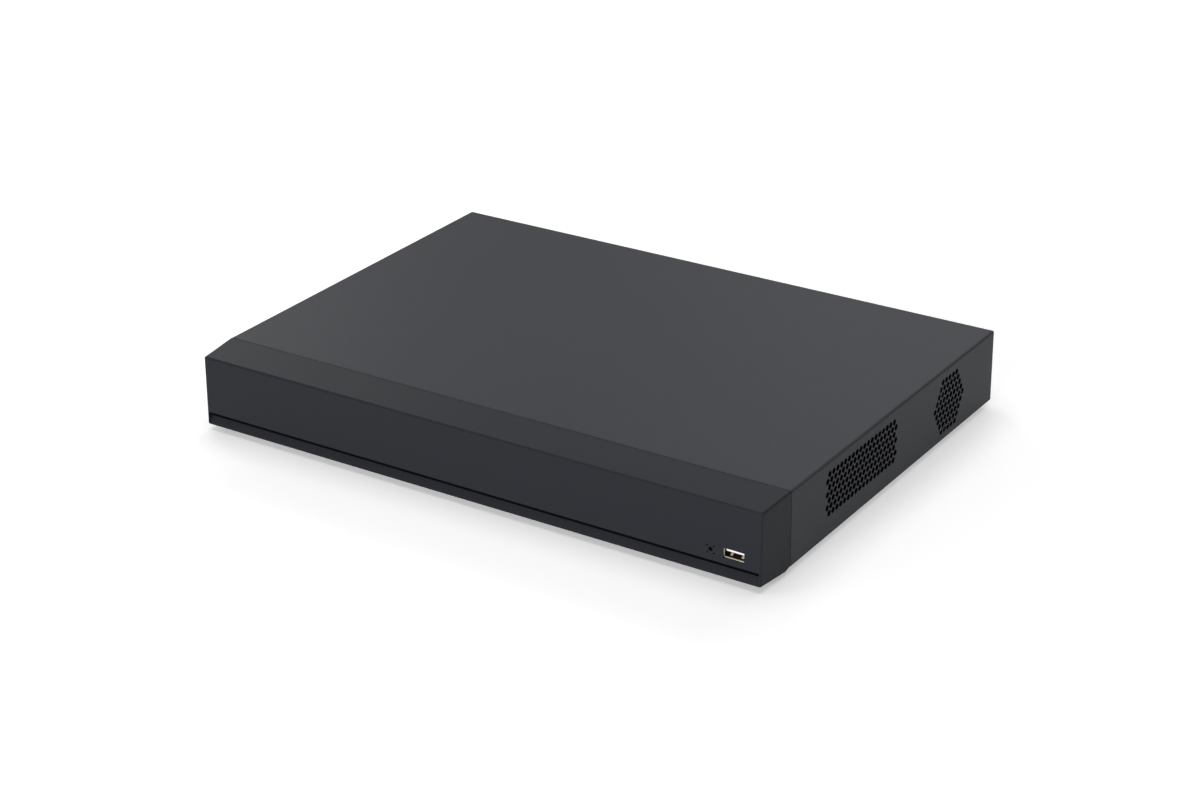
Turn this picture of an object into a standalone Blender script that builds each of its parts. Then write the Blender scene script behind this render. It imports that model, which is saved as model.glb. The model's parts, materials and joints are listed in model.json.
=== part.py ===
"""Digital video recorder: a flat steel case with a moulded front bezel, a lift-off cover,
sixteen camera sockets at the back, a main board, one fitted hard drive, one free drive bay
and a side fan.  Metres, +Z up, front towards -Y, origin under the middle of the whole object.
"""
import math

import bmesh
import bpy
from mathutils import Matrix, Vector

MM = 0.001

# ---------------------------------------------------------------- clearances
GAP = 0.3 * MM                # between pieces that touch
HOLE_CLEARANCE = 0.4 * MM     # round a part that passes through a sheet

# ---------------------------------------------------------------- case
CASE_WIDTH = 375.0 * MM
CASE_DEPTH = 267.5 * MM       # bezel's front edge to the cover's rear face
CASE_HEIGHT = 44.2 * MM       # bezel's lower front edge to the cover's top
SHEET = 1.0 * MM              # steel of the cover, tray and rear panel
JACK_REACH = 13.5 * MM        # camera sockets stand this far behind the cover
BEND_RADIUS = 1.2 * MM

FOOT_RADIUS = 8.0 * MM
FOOT_HEIGHT = 3.5 * MM
FOOT_CHAMFER = 0.8 * MM
FOOT_INSET_X = 34.0 * MM      # foot's centre from the case's side
FOOT_INSET_FRONT = 52.0 * MM
FOOT_INSET_BACK = 30.0 * MM

BEZEL_DEPTH = 27.6 * MM
BEZEL_SEAM = 0.4 * MM         # between bezel and cover
BEZEL_WALL = 2.0 * MM
BEZEL_TAPER = 1.9 * MM        # each side draws in towards the front
BEZEL_DROP = 1.9 * MM         # the top slopes down towards the front
BEZEL_LEAN = 1.4 * MM         # the front face leans back at its top
KEEL_DEPTH = 1.6 * MM         # the underside dips before it meets the tray
KEEL_BACK = 23.0 * MM         # the dip's lowest line, behind the front edge
BEZEL_EDGE = 0.9 * MM

GROOVE_LOW = 4.9 * MM         # slot over the lower lip, above the bezel's lower edge
GROOVE_HIGH = 8.0 * MM
GROOVE_DEPTH = 12.0 * MM
GROOVE_CHEEK = 1.0 * MM       # left of the bezel's side wall at the slot's ends
LIP_SETBACK = 2.75 * MM       # the lip's sloped face runs back this far at its top
LIP_START = 0.3 * MM
LIP_DEPTH = 9.0 * MM
LIP_ROOT = 1.0 * MM           # the lip grows out of the bezel's wall from here
GUIDE_OVERLAP = 2.0 * MM      # the light guide lies this far under the lip's rear edge
GUIDE_THICKNESS = 3.0 * MM
GUIDE_LIFT = 3.0 * MM         # above the slot's upper edge
BEZEL_INNER_GAP = 2.0 * MM    # between the bezel's side walls and what is behind it

FLANGE_HEIGHT = 8.0 * MM      # tray's turned-up sides
WALL_RETURN = 2.0 * MM        # full-height ends beside the tray's front wall
REAR_LIP = 5.0 * MM           # cover's turned-down rear edge
TAB_HEIGHT = 11.0 * MM        # and its screw tabs
TAB_WIDTH = 14.0 * MM
TAB_INSET = 11.5 * MM

CLIP_SIZE = (8.0 * MM, 2.0 * MM)
CLIP_INSET_X = 57.5 * MM      # snap tongue's centre from the case's side
CLIP_INSET_Z = 3.5 * MM       # from the case's top and bottom
CLIP_REACH = 2.0 * MM         # past the tray's front wall

FLOOR_SLOT = (3.0 * MM, 22.0 * MM)
FLOOR_SLOT_PITCH = 9.0 * MM
FLOOR_SLOTS = 6
LEAD_WINDOW = 12.0 * MM       # square hole in the tray's front wall
LEAD_WINDOW_RIGHT = 24.0 * MM
LEAD_WINDOW_HEIGHT = 6.0 * MM
LEAD_DROP = 3.0 * MM           # the front lead lies this far under the window's centre

# ---------------------------------------------------------------- side vents
HOLE_FLATS = 3.45 * MM        # hexagonal hole, across its flats
HOLE_PITCH = 4.3 * MM
ROW_PITCH = 3.86 * MM
BAY_VENT_BACK = 105.3 * MM    # centre behind the bezel's front edge
BAY_VENT_HEIGHT = 24.8 * MM   # centre above the bezel's lower edge
BAY_VENT_ROWS = (18, 19, 18, 19, 18, 19, 18)
FAN_VENT_BACK = 209.7 * MM
FAN_VENT_HEIGHT = 21.5 * MM
FAN_VENT_ROWS = (5, 6, 7, 8, 9, 8, 7, 6, 5)
LEFT_VENT_ROWS = (9, 10, 9, 10, 9, 10, 9)

# ---------------------------------------------------------------- front socket and sounder
USB_RIGHT = 18.1 * MM         # socket's centre from the case's side
USB_HEIGHT = 14.2 * MM
USB_OPENING = (12.6 * MM, 5.7 * MM)
USB_SHELL = (13.1 * MM, 5.8 * MM)
USB_LENGTH = 14.0 * MM
USB_SHELL_WALL = 0.3 * MM
USB_BACK = 1.5 * MM           # thickness of the shell's closed end
USB_TONGUE = (11.1 * MM, 1.84 * MM)
USB_TONGUE_SETBACK = 0.7 * MM
USB_SETBACK = 1.5 * MM
USB_POCKET_SETBACK = 1.1 * MM
SOUNDER_RIGHT = 31.9 * MM
SOUNDER_HOLE = 1.25 * MM
SOUNDER_SIDE_HOLE = 0.5 * MM
SOUNDER_SIDE_OFFSET = 2.0 * MM
SOUNDER_RADIUS = 6.0 * MM
SOUNDER_LENGTH = 11.0 * MM
SOUNDER_MOUTH = 1.0 * MM      # depth of the round hole in the can's end
FRONT_BOARD_SIZE = (56.0 * MM, 30.0 * MM)

# ---------------------------------------------------------------- boards
BOARD_THICKNESS = 1.6 * MM
POST_HEIGHT = 4.0 * MM
POST_FLATS = 5.0 * MM
BOARD_DEPTH = 68.0 * MM
BOARD_PANEL_GAP = 1.0 * MM
BOARD_SIDE_GAP = 8.0 * MM
POST_INSET = 6.0 * MM
CHIP_SIZE = 23.0 * MM
CHIP_HEIGHT = 2.0 * MM
SINK_SIZE = 34.0 * MM
SINK_INSET = 4.0 * MM         # from the board's front edge
SINK_BASE = 3.0 * MM
SINK_FIN_HEIGHT = 11.0 * MM
SINK_FIN = 1.4 * MM
SINK_FINS = 7
CELL_RADIUS = 10.0 * MM
CELL_HEIGHT = 4.2 * MM
CELL_CHAMFER = 0.5 * MM
CELL_SPACING = 8.0 * MM       # between the heat sink and the cell

# ---------------------------------------------------------------- rear sockets
BNC_COLUMNS = 8
BNC_FIRST = 56.5 * MM         # first column's centre from the case's right side
BNC_BUSH_RADIUS = 6.0 * MM
BNC_BUSH_REACH = 2.6 * MM     # past the panel's outer face
BNC_SIDE_WALL = 1.3 * MM      # body beside the bush
BNC_SPACING = 2.4 * MM        # between neighbouring bodies
BNC_ROW_WEB = 3.5 * MM        # between the lower and the upper bush
BNC_LOW_WALL = 1.6 * MM       # between the board and the lower bush
BNC_TOP_WALL = 1.0 * MM
BNC_BODY_DEPTH = 17.0 * MM
BNC_BARREL_RADIUS = 4.8 * MM
BNC_BORE_RADIUS = 4.05 * MM
BNC_BORE_DEPTH = 8.0 * MM
BNC_CORE_RADIUS = 2.3 * MM
BNC_CORE_SETBACK = 2.0 * MM
BNC_BODY_WIDTH = 2 * (BNC_BUSH_RADIUS + BNC_SIDE_WALL)
BNC_PITCH = BNC_BODY_WIDTH + BNC_SPACING
BNC_ROW = 2 * BNC_BUSH_RADIUS + BNC_ROW_WEB
BNC_LOW = BNC_LOW_WALL + BNC_BUSH_RADIUS         # lower barrel's centre above the board
BNC_TOP = BNC_LOW + BNC_ROW + BNC_BUSH_RADIUS    # upper bush's highest line above the board

SOCKET_ROOT = 1.0 * MM        # a nose or barrel starts this far inside its body
PORT_SPACING = 6.0 * MM
RCA_PITCH = 14.0 * MM
RCA_RADIUS = 4.2 * MM
RCA_BORE = 1.7 * MM
RCA_REACH = 9.0 * MM
RCA_BORE_DEPTH = 7.0 * MM
RCA_ROW_PITCH = 13.0 * MM
RCA_BODY = (27.0 * MM, 27.0 * MM, 12.0 * MM)
VGA_BODY = (31.0 * MM, 12.5 * MM, 12.0 * MM)
VGA_SHELL = (17.0 * MM, 8.4 * MM)
VGA_SKIRT = 1.2 * MM          # the lower side is this much narrower at each end
VGA_REACH = 5.4 * MM
VGA_POST_OFFSET = 12.5 * MM
VGA_POST_FLATS = 4.8 * MM
VGA_POST_REACH = 4.2 * MM
HDMI_BODY = (15.0 * MM, 6.2 * MM, 12.0 * MM)
HDMI_OPENING = (14.0 * MM, 4.6 * MM, 9.0 * MM)
HDMI_TONGUE = (11.0 * MM, 1.3 * MM, 7.0 * MM)
LAN_BODY = (16.0 * MM, 13.6 * MM, 17.0 * MM)
LAN_OPENING = (11.8 * MM, 8.2 * MM, 12.5 * MM)
LAN_LATCH = (5.4 * MM, 2.2 * MM)
LAN_SILL = 3.6 * MM
PORT_REACH = 1.0 * MM         # shells stand this far out of the panel
TERMINAL_WAYS = 8
TERMINAL_PITCH = 3.8 * MM
TERMINAL_HEIGHT = 9.0 * MM
TERMINAL_DEPTH = 9.0 * MM
TERMINAL_REACH = 7.0 * MM
TERMINAL_HOLE = (2.6 * MM, 3.0 * MM, 4.0 * MM)
TERMINAL_HOLE_HEIGHT = 1.5 * MM
DC_RIGHT = 39.0 * MM          # power jack's centre from the case's side
DC_HEIGHT = 7.5 * MM          # above the board
DC_BODY = (10.0 * MM, 12.0 * MM, 13.0 * MM)
DC_NOSE_RADIUS = 4.7 * MM
DC_NOSE_REACH = 2.4 * MM
DC_BORE_RADIUS = 3.2 * MM
DC_BORE_DEPTH = 9.0 * MM
DC_PIN_RADIUS = 1.05 * MM
DC_PIN_SETBACK = 1.0 * MM
SWITCH_RIGHT = 17.0 * MM
SWITCH_HEIGHT = 21.0 * MM     # centre above the bezel's lower edge
SWITCH_FRAME = (15.0 * MM, 21.0 * MM, 1.9 * MM)
SWITCH_BODY = (13.0 * MM, 19.0 * MM, 15.0 * MM)
ROCKER_SIZE = (9.6 * MM, 13.6 * MM)
ROCKER_CLEARANCE = 0.5 * MM
ROCKER_DEPTH = 6.0 * MM
ROCKER_ROOM = 3.0 * MM        # free depth behind the rocker
ROCKER_STANDOUT = 1.7 * MM
ROCKER_HALF_SWING = math.radians(8.0)
GROUND_LEFT = 13.0 * MM
GROUND_LIFT = 6.0 * MM        # above the terminal block

SCREW_HEAD_RADIUS = 2.9 * MM
SCREW_HEAD_HEIGHT = 1.6 * MM
SCREW_SHANK_RADIUS = 1.5 * MM
SCREW_LENGTH = 5.0 * MM
DRIVER_FLATS = 1.0 * MM
DRIVER_DEPTH = 0.8 * MM

# ---------------------------------------------------------------- fan
FAN_SIZE = 40.0 * MM
FAN_DEPTH = 20.0 * MM
FAN_RIM = 1.0 * MM            # frame's thinnest wall round the bore
FAN_HUB_RADIUS = 8.5 * MM
FAN_HUB_LENGTH = 14.0 * MM
FAN_BLADES = 7
FAN_BLADE_CHORD = 11.0 * MM
FAN_BLADE_THICKNESS = 1.0 * MM
FAN_BLADE_CLEARANCE = 0.8 * MM
FAN_BLADE_PITCH = math.radians(38.0)
FAN_SCREW_INSET = 4.0 * MM
FAN_SCREW_RADIUS = 1.8 * MM
FAN_STRUT = 2.2 * MM
FAN_STRUTS = 3
FAN_STRUT_TURN = 0.5          # radians from upright to the first strut
FAN_HUB_GAP = 1.0 * MM        # between the motor plate and the rotor
FAN_HUB_CHAMFER = 1.0 * MM
FAN_BLADE_ROOT = 2.0 * MM     # a blade starts this far inside the hub

# ---------------------------------------------------------------- hard drive
DRIVE_WIDTH = 101.6 * MM
DRIVE_LENGTH = 147.0 * MM
DRIVE_HEIGHT = 26.1 * MM
DRIVE_LEFT = 20.0 * MM        # from the tray's left side
DRIVE_FRONT = 5.0 * MM        # from the tray's front wall
DRIVE_STAND = 2.0 * MM        # above the tray's floor
DRIVE_WALL = 2.5 * MM
DRIVE_FLOOR = 7.0 * MM
DRIVE_LID = 1.2 * MM
DRIVE_CORNER = 3.0 * MM
PLATTER_RADIUS = 47.5 * MM
PLATTER_THICKNESS = 1.3 * MM
PLATTER_SPACE = 4.0 * MM
PLATTER_FRONT = 50.8 * MM     # spindle's centre from the drive's front end
SPINDLE_RADIUS = 13.0 * MM
PIVOT_OFFSET = (-28.0 * MM, 49.5 * MM)   # arm's pivot from the spindle
PIVOT_RADIUS = 7.0 * MM
ARM_LENGTH = 51.0 * MM
ARM_THICKNESS = 1.0 * MM
ARM_ROOT = 13.0 * MM
ARM_TIP = 4.0 * MM
ARM_PARKED = math.radians(53.0)          # from the line between pivot and spindle
COIL_LENGTH = 15.0 * MM
DRIVE_HOLE_X = 47.6 * MM
DRIVE_HOLES_Y = (41.3 * MM, 117.5 * MM)  # bottom screw holes from the drive's rear end
FREE_BAY_GAP = 62.0 * MM      # between the fitted drive and the free bay
DRIVE_EDGE = 1.0 * MM
DRIVE_BOARD_LENGTH = 89.0 * MM
DRIVE_BOARD_INSET = 3.0 * MM
DRIVE_BOARD_HOLE = 2.4 * MM
DRIVE_TAIL = 18.0 * MM        # solid rear end of the casting
LID_INSET = 1.0 * MM
LID_REAR_INSET = 12.0 * MM
DISC_LOW = 2.5 * MM           # lower disc above the spindle's foot
SPINDLE_CAP = 1.5 * MM        # above the upper disc
SPINDLE_STAND = 1.0 * MM      # above the casting's pocket
THREAD_SPARE = 1.0 * MM

# ---------------------------------------------------------------- plug and leads
PLUG_WIDTH = 42.0 * MM
PLUG_DEPTH = 12.0 * MM
PLUG_HEIGHT = 6.0 * MM
PLUG_STAND = 1.0 * MM         # above the drive's board
PLUG_MARGIN = 0.5 * MM
DATA_LEAD_OFFSET = -13.0 * MM # from the drive's middle
DATA_LEAD_RADIUS = 1.6 * MM
POWER_LEAD_OFFSET = 8.0 * MM
POWER_LEAD_RADIUS = 2.0 * MM
FRONT_LEAD_RADIUS = 1.8 * MM
FAN_LEAD_RADIUS = 1.2 * MM
CABLE_CLIP_RIGHT = 18.2 * MM  # its bore's centre from the case's side
CABLE_CLIP_BACK = 140.5 * MM  # and behind the bezel's front edge
CABLE_CLIP_SIZE = (8.0 * MM, 6.0 * MM, 6.7 * MM)
CABLE_CLIP_HEIGHT = 3.2 * MM  # its bore's centre above the floor
CABLE_CLIP_BORE = 2.2 * MM
CABLE_CLIP_EDGE = 1.0 * MM

# ---------------------------------------------------------------- planes that follow
FRONT = -(CASE_DEPTH + JACK_REACH) / 2
BACK = FRONT + CASE_DEPTH
BASE = FOOT_HEIGHT
TOP = BASE + CASE_HEIGHT
SIDE = CASE_WIDTH / 2
COVER_FRONT = FRONT + BEZEL_DEPTH + BEZEL_SEAM
COVER_IN = SIDE - SHEET
TRAY_SIDE = COVER_IN - GAP
TRAY_LOW = BASE + GAP
FLOOR = TRAY_LOW + SHEET
WALL_TOP = TOP - SHEET - GAP
WALL_OUT = COVER_FRONT + GAP
WALL_IN = WALL_OUT + SHEET
PANEL_OUT = BACK - SHEET - GAP
PANEL_IN = PANEL_OUT - SHEET
BOARD_LOW = FLOOR + POST_HEIGHT
BOARD_TOP = BOARD_LOW + BOARD_THICKNESS
BOARD_BACK = PANEL_IN - BOARD_PANEL_GAP
BOARD_FRONT = BOARD_BACK - BOARD_DEPTH
BRACKET_OUT = TRAY_SIDE - SHEET - GAP
FAN_OUT = BRACKET_OUT - SHEET - GAP
FAN_IN = FAN_OUT - FAN_DEPTH
FAN_Y = FRONT + FAN_VENT_BACK
FAN_Z = FLOOR + GAP + FAN_SIZE / 2
BOARD_RIGHT = FAN_IN - BOARD_SIDE_GAP
BOARD_LEFT = -TRAY_SIDE + SHEET + BOARD_SIDE_GAP
DRIVE_X = -TRAY_SIDE + SHEET + DRIVE_LEFT + DRIVE_WIDTH / 2
DRIVE_FRONT_Y = WALL_IN + DRIVE_FRONT
DRIVE_REAR_Y = DRIVE_FRONT_Y + DRIVE_LENGTH
DRIVE_LOW = FLOOR + DRIVE_STAND
BAY_X = DRIVE_X + DRIVE_WIDTH + FREE_BAY_GAP
PLUG_LOW = DRIVE_LOW + BOARD_THICKNESS + PLUG_STAND
THROUGH = 5.0 * MM            # how far a cutter runs past what it cuts

# ---------------------------------------------------------------- finishes: colour, roughness, metallic
POWDER_BLACK = ((0.040, 0.043, 0.050), 0.62, 0.0)
BEZEL_BLACK = ((0.030, 0.032, 0.037), 0.48, 0.0)
ZINC_SHEET = ((0.52, 0.53, 0.54), 0.42, 0.9)
RUBBER = ((0.018, 0.018, 0.019), 0.85, 0.0)
STEEL = ((0.60, 0.60, 0.60), 0.32, 1.0)
BLACK_SCREW = ((0.03, 0.03, 0.032), 0.40, 0.8)
TIN_SHELL = ((0.66, 0.66, 0.65), 0.28, 1.0)
WHITE_PLASTIC = ((0.82, 0.82, 0.79), 0.45, 0.0)
BLACK_PLASTIC = ((0.022, 0.022, 0.024), 0.45, 0.0)
GREEN_BOARD = ((0.015, 0.11, 0.045), 0.40, 0.0)
BLUE_PLASTIC = ((0.03, 0.08, 0.35), 0.45, 0.0)
GREEN_PLASTIC = ((0.03, 0.28, 0.08), 0.45, 0.0)
NICKEL = ((0.62, 0.60, 0.56), 0.25, 1.0)
CAST_ALUMINIUM = ((0.55, 0.56, 0.57), 0.45, 0.9)
PLATTER_MIRROR = ((0.78, 0.78, 0.80), 0.06, 1.0)
CHIP_BLACK = ((0.02, 0.02, 0.02), 0.55, 0.0)
BLACK_ALUMINIUM = ((0.035, 0.035, 0.038), 0.45, 0.6)
SMOKED_GUIDE = ((0.05, 0.06, 0.08), 0.20, 0.0)
RED_CABLE = ((0.35, 0.02, 0.02), 0.50, 0.0)
GREY_CABLE = ((0.20, 0.20, 0.21), 0.55, 0.0)


# ================================================================ helpers
def make_collection(name):
    found = bpy.data.collections.new(name)
    bpy.context.scene.collection.children.link(found)
    return found


for old in list(bpy.data.objects):
    bpy.data.objects.remove(old, do_unlink=True)
PARTS = make_collection("video_recorder")
CUTTERS = make_collection("cutters")


def give_finish(part, finish):
    colour, roughness, metallic = finish
    surface = bpy.data.materials.new(part.name)
    surface.use_nodes = True
    shader = surface.node_tree.nodes["Principled BSDF"]
    shader.inputs["Base Color"].default_value = (*colour, 1.0)
    shader.inputs["Roughness"].default_value = roughness
    shader.inputs["Metallic"].default_value = metallic
    part.data.materials.append(surface)


def object_from(name, shape, finish=None, smooth=False):
    """Turn a bmesh into an object; without a finish it is a cutter or a half-made piece."""
    mesh = bpy.data.meshes.new(name)
    shape.to_mesh(mesh)
    shape.free()
    if smooth:
        mesh.shade_smooth()
        mesh.set_sharp_from_angle(angle=math.radians(35))
    part = bpy.data.objects.new(name, mesh)
    if finish is None:
        CUTTERS.objects.link(part)
        part.hide_render = True
        part.display_type = "WIRE"
    else:
        PARTS.objects.link(part)
        give_finish(part, finish)
    return part


def add_block(shape, low, high):
    """Add a box between two corners to a bmesh and return its vertices."""
    low, high = Vector(low), Vector(high)
    place = Matrix.Translation((low + high) / 2) @ Matrix.Diagonal((*(high - low), 1.0))
    return bmesh.ops.create_cube(shape, size=1.0, matrix=place)["verts"]


def block(name, low, high, finish=None):
    shape = bmesh.new()
    add_block(shape, low, high)
    return object_from(name, shape, finish)


TURN = {
    "X": Matrix.Rotation(math.radians(90), 4, "Y"),
    "Y": Matrix.Rotation(math.radians(-90), 4, "X"),
    "-Y": Matrix.Rotation(math.radians(90), 4, "X"),
    "Z": Matrix.Identity(4),
    "-Z": Matrix.Rotation(math.radians(180), 4, "X"),
}


def add_rod(shape, centre, radius, length, axis, sides):
    place = Matrix.Translation(Vector(centre)) @ TURN[axis] @ Matrix.Rotation(math.pi / sides, 4, "Z")
    bmesh.ops.create_cone(shape, cap_ends=True, segments=sides, radius1=radius, radius2=radius,
                          depth=length, matrix=place)


def rod(name, centre, radius, length, axis, sides=16, finish=None):
    shape = bmesh.new()
    add_rod(shape, centre, radius, length, axis, sides)
    return object_from(name, shape, finish, smooth=True)


def prism(name, outline, axis, start, end, finish=None):
    """Extrude an outline along X, Y or Z.  Its points are the other two coordinates, in order."""
    shape = bmesh.new()
    order = {"X": (2, 0, 1), "Y": (0, 2, 1), "Z": (0, 1, 2)}[axis]
    corners = []
    for first, second in outline:
        values = (first, second, start)
        corners.append(shape.verts.new([values[i] for i in order]))
    face = shape.faces.new(corners)
    moved = bmesh.ops.extrude_face_region(shape, geom=[face])["geom"]
    shift = Vector([(0.0, 0.0, end - start)[i] for i in order])
    bmesh.ops.translate(shape, vec=shift, verts=[v for v in moved if isinstance(v, bmesh.types.BMVert)])
    bmesh.ops.recalc_face_normals(shape, faces=shape.faces)
    return object_from(name, shape, finish)


def turned(name, profile, place, axis, steps, finish=None):
    """Spin a profile of (radius, height) pairs, listed top to bottom, about the given axis."""
    shape = bmesh.new()
    points = [shape.verts.new((radius, 0.0, height)) for radius, height in profile]
    for upper, lower in zip(points, points[1:]):
        shape.edges.new((upper, lower))
    part = object_from(name, shape, finish)
    part.matrix_world = Matrix.Translation(Vector(place)) @ TURN[axis]
    spin = part.modifiers.new("spin", "SCREW")
    spin.steps = steps
    spin.render_steps = steps
    spin.use_merge_vertices = True
    spin.merge_threshold = 0.00001
    return part


def boolean(target, tool, operation):
    """Cut with or join a tool, which then stays only as a guide."""
    if tool.name in PARTS.objects:
        PARTS.objects.unlink(tool)
        CUTTERS.objects.link(tool)
    tool.hide_render = True
    tool.display_type = "WIRE"
    change = target.modifiers.new(tool.name, "BOOLEAN")
    change.operation = operation
    change.solver = "EXACT"
    change.object = tool


def cut(target, tool):
    boolean(target, tool, "DIFFERENCE")


def join(target, tool):
    boolean(target, tool, "UNION")


def soften(part, width, segments=2):
    edge = part.modifiers.new("edges", "BEVEL")
    edge.width = width
    edge.segments = segments
    edge.limit_method = "ANGLE"
    edge.angle_limit = math.radians(40)


def thicken(part, wall):
    skin = part.modifiers.new("wall", "SOLIDIFY")
    skin.thickness = wall
    skin.offset = -1.0
    skin.use_even_offset = True


def remove_faces(shape, *directions):
    """Open a box on the sides that face the given directions."""
    shape.normal_update()
    gone = [f for f in shape.faces if any(f.normal.dot(Vector(d)) > 0.9 for d in directions)]
    bmesh.ops.delete(shape, geom=gone, context="FACES")


def tube(name, points, radius, finish):
    """Round lead along a smooth curve through the route's points."""
    route = [Vector(p) for p in points]
    route = [route[0] * 2 - route[1]] + route + [route[-1] * 2 - route[-2]]
    steps = 3
    smooth = []
    for before, start, end, after in zip(route, route[1:], route[2:], route[3:]):
        for step in range(steps):
            t = step / steps
            smooth.append(0.5 * (2 * start + (end - before) * t
                                 + (2 * before - 5 * start + 4 * end - after) * t ** 2
                                 + (3 * start - before - 3 * end + after) * t ** 3))
    smooth.append(route[-2])
    curve = bpy.data.curves.new(name, "CURVE")
    curve.dimensions = "3D"
    curve.bevel_depth = radius
    curve.bevel_resolution = 2
    curve.use_fill_caps = True
    spline = curve.splines.new("POLY")
    spline.points.add(len(smooth) - 1)
    for knot, place in zip(spline.points, smooth):
        knot.co = (*place, 1.0)
    part = bpy.data.objects.new(name, curve)
    PARTS.objects.link(part)
    give_finish(part, finish)
    return part


def pan_screw(name, place, axis, finish, length=SCREW_LENGTH):
    """Low round head with a square driver recess; the head's underside is at place."""
    head = SCREW_HEAD_HEIGHT
    profile = [(0.0, head), (SCREW_HEAD_RADIUS * 0.75, head), (SCREW_HEAD_RADIUS, head * 0.55),
               (SCREW_HEAD_RADIUS, 0.0), (SCREW_SHANK_RADIUS, 0.0), (SCREW_SHANK_RADIUS, -length),
               (0.0, -length)]
    part = turned(name, profile, place, axis, 10, finish)
    out = (TURN[axis] @ Vector((0, 0, 1))).normalized()
    middle = Vector(place) + out * head
    recess = rod(name + "_driver", middle, DRIVER_FLATS, 2 * DRIVER_DEPTH, axis, 4)
    cut(part, recess)
    return part


def shank_hole(name, place, axis, depth):
    return rod(name, place, SCREW_SHANK_RADIUS + HOLE_CLEARANCE, 2 * depth, axis, 12)


# ================================================================ enclosure
def hole_field(name, rows, centre_y, centre_z, low_x, high_x):
    """Cutter for a field of hexagonal holes through a side, each row a given number of holes."""
    shape = bmesh.new()
    radius = HOLE_FLATS / math.sqrt(3)
    for row, count in enumerate(rows):
        height = centre_z + ((len(rows) - 1) / 2 - row) * ROW_PITCH
        for hole in range(count):
            across = centre_y + (hole - (count - 1) / 2) * HOLE_PITCH
            place = Matrix.Translation(((low_x + high_x) / 2, across, height)) @ TURN["X"]
            bmesh.ops.create_cone(shape, cap_ends=True, segments=6, radius1=radius, radius2=radius,
                                  depth=high_x - low_x, matrix=place)
    return object_from(name, shape)


def top_cover():
    shape = bmesh.new()
    add_block(shape, (-SIDE, COVER_FRONT, TRAY_LOW), (SIDE, BACK, TOP))
    remove_faces(shape, (0, -1, 0), (0, 0, -1))
    cover = object_from("top_cover", shape, POWDER_BLACK, smooth=True)
    soften(cover, BEND_RADIUS)
    thicken(cover, SHEET)
    rear_low, rear_high = BACK - SHEET - BEND_RADIUS, BACK + THROUGH
    inside = COVER_IN - BEND_RADIUS
    cut(cover, block("cover_rear_opening", (-inside, rear_low, TRAY_LOW - THROUGH),
                     (inside, rear_high, TOP - TAB_HEIGHT)))
    tab_edge = COVER_IN - TAB_INSET - TAB_WIDTH / 2
    lip_low = max(TOP - REAR_LIP, BOARD_TOP + BNC_TOP + HOLE_CLEARANCE)
    cut(cover, block("cover_rear_relief", (-tab_edge, rear_low, TOP - TAB_HEIGHT - THROUGH),
                     (tab_edge, rear_high, lip_low)))
    for side in (-1, 1):
        slot_half = SCREW_SHANK_RADIUS + HOLE_CLEARANCE
        centre = side * (COVER_IN - TAB_INSET)
        cut(cover, block(f"cover_notch_{side}", (centre - slot_half, rear_low, TOP - TAB_HEIGHT - THROUGH),
                         (centre + slot_half, rear_high, cover_screw_height() + slot_half)))
    wall_low, wall_high = COVER_IN - THROUGH, SIDE + THROUGH
    bay_y, bay_z = FRONT + BAY_VENT_BACK, BASE + BAY_VENT_HEIGHT
    cut(cover, hole_field("bay_vent", BAY_VENT_ROWS, bay_y, bay_z, wall_low, wall_high))
    cut(cover, hole_field("fan_vent", FAN_VENT_ROWS, FAN_Y, BASE + FAN_VENT_HEIGHT, wall_low, wall_high))
    cut(cover, hole_field("left_vent", LEFT_VENT_ROWS, bay_y, bay_z, -wall_high, -wall_low))


def cover_screw_height():
    return TOP - TAB_HEIGHT / 2 - SHEET


def chassis_tray():
    shape = bmesh.new()
    add_block(shape, (-TRAY_SIDE, WALL_OUT, TRAY_LOW), (TRAY_SIDE, PANEL_OUT, WALL_TOP))
    remove_faces(shape, (0, 1, 0), (0, 0, 1))
    tray = object_from("chassis_tray", shape, ZINC_SHEET)
    thicken(tray, SHEET)
    wide = TRAY_SIDE + THROUGH
    cut(tray, block("tray_side_opening", (-wide, WALL_IN + WALL_RETURN, TRAY_LOW + FLANGE_HEIGHT),
                    (wide, PANEL_OUT + THROUGH, WALL_TOP + THROUGH)))
    cut(tray, block("tray_flange_end", (-wide, PANEL_IN - GAP, FLOOR),
                    (wide, PANEL_OUT + THROUGH, TRAY_LOW + FLANGE_HEIGHT + THROUGH)))
    cut(tray, floor_openings())
    window_x, window_z = SIDE - LEAD_WINDOW_RIGHT, BASE + LEAD_WINDOW_HEIGHT
    cut(tray, block("lead_window", (window_x - LEAD_WINDOW / 2, WALL_OUT - THROUGH, window_z),
                    (window_x + LEAD_WINDOW / 2, WALL_IN + THROUGH, window_z + LEAD_WINDOW)))
    for index, (low, high) in enumerate(clip_boxes()):
        cut(tray, block(f"clip_slot_{index}", [v - HOLE_CLEARANCE for v in low],
                        [v + HOLE_CLEARANCE for v in high]))


def clip_boxes():
    """Bezel's snap tongues through the tray's front wall, as pairs of corners."""
    boxes = []
    width, thickness = CLIP_SIZE
    for centre in (CLIP_INSET_X - SIDE, SIDE - CLIP_INSET_X):
        for height in (BASE + CLIP_INSET_Z, TOP - CLIP_INSET_Z - thickness):
            low = (centre - width / 2, FRONT + KEEL_BACK, height)
            high = (centre + width / 2, WALL_IN + CLIP_REACH, height + thickness)
            boxes.append((low, high))
    return boxes


def clip_roots():
    """Ribs that carry the tongues, from inside the bezel's upper and lower walls."""
    roots = []
    for low, high in clip_boxes():
        bottom, top = low[2], high[2]
        if bottom < (BASE + TOP) / 2:
            bottom = BASE
        else:
            top = TOP - BEZEL_WALL / 2
        front = FRONT + KEEL_BACK - 2 * BEZEL_WALL
        roots.append(((low[0], front, bottom), (high[0], low[1] + BEZEL_WALL, top)))
    return roots


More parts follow.
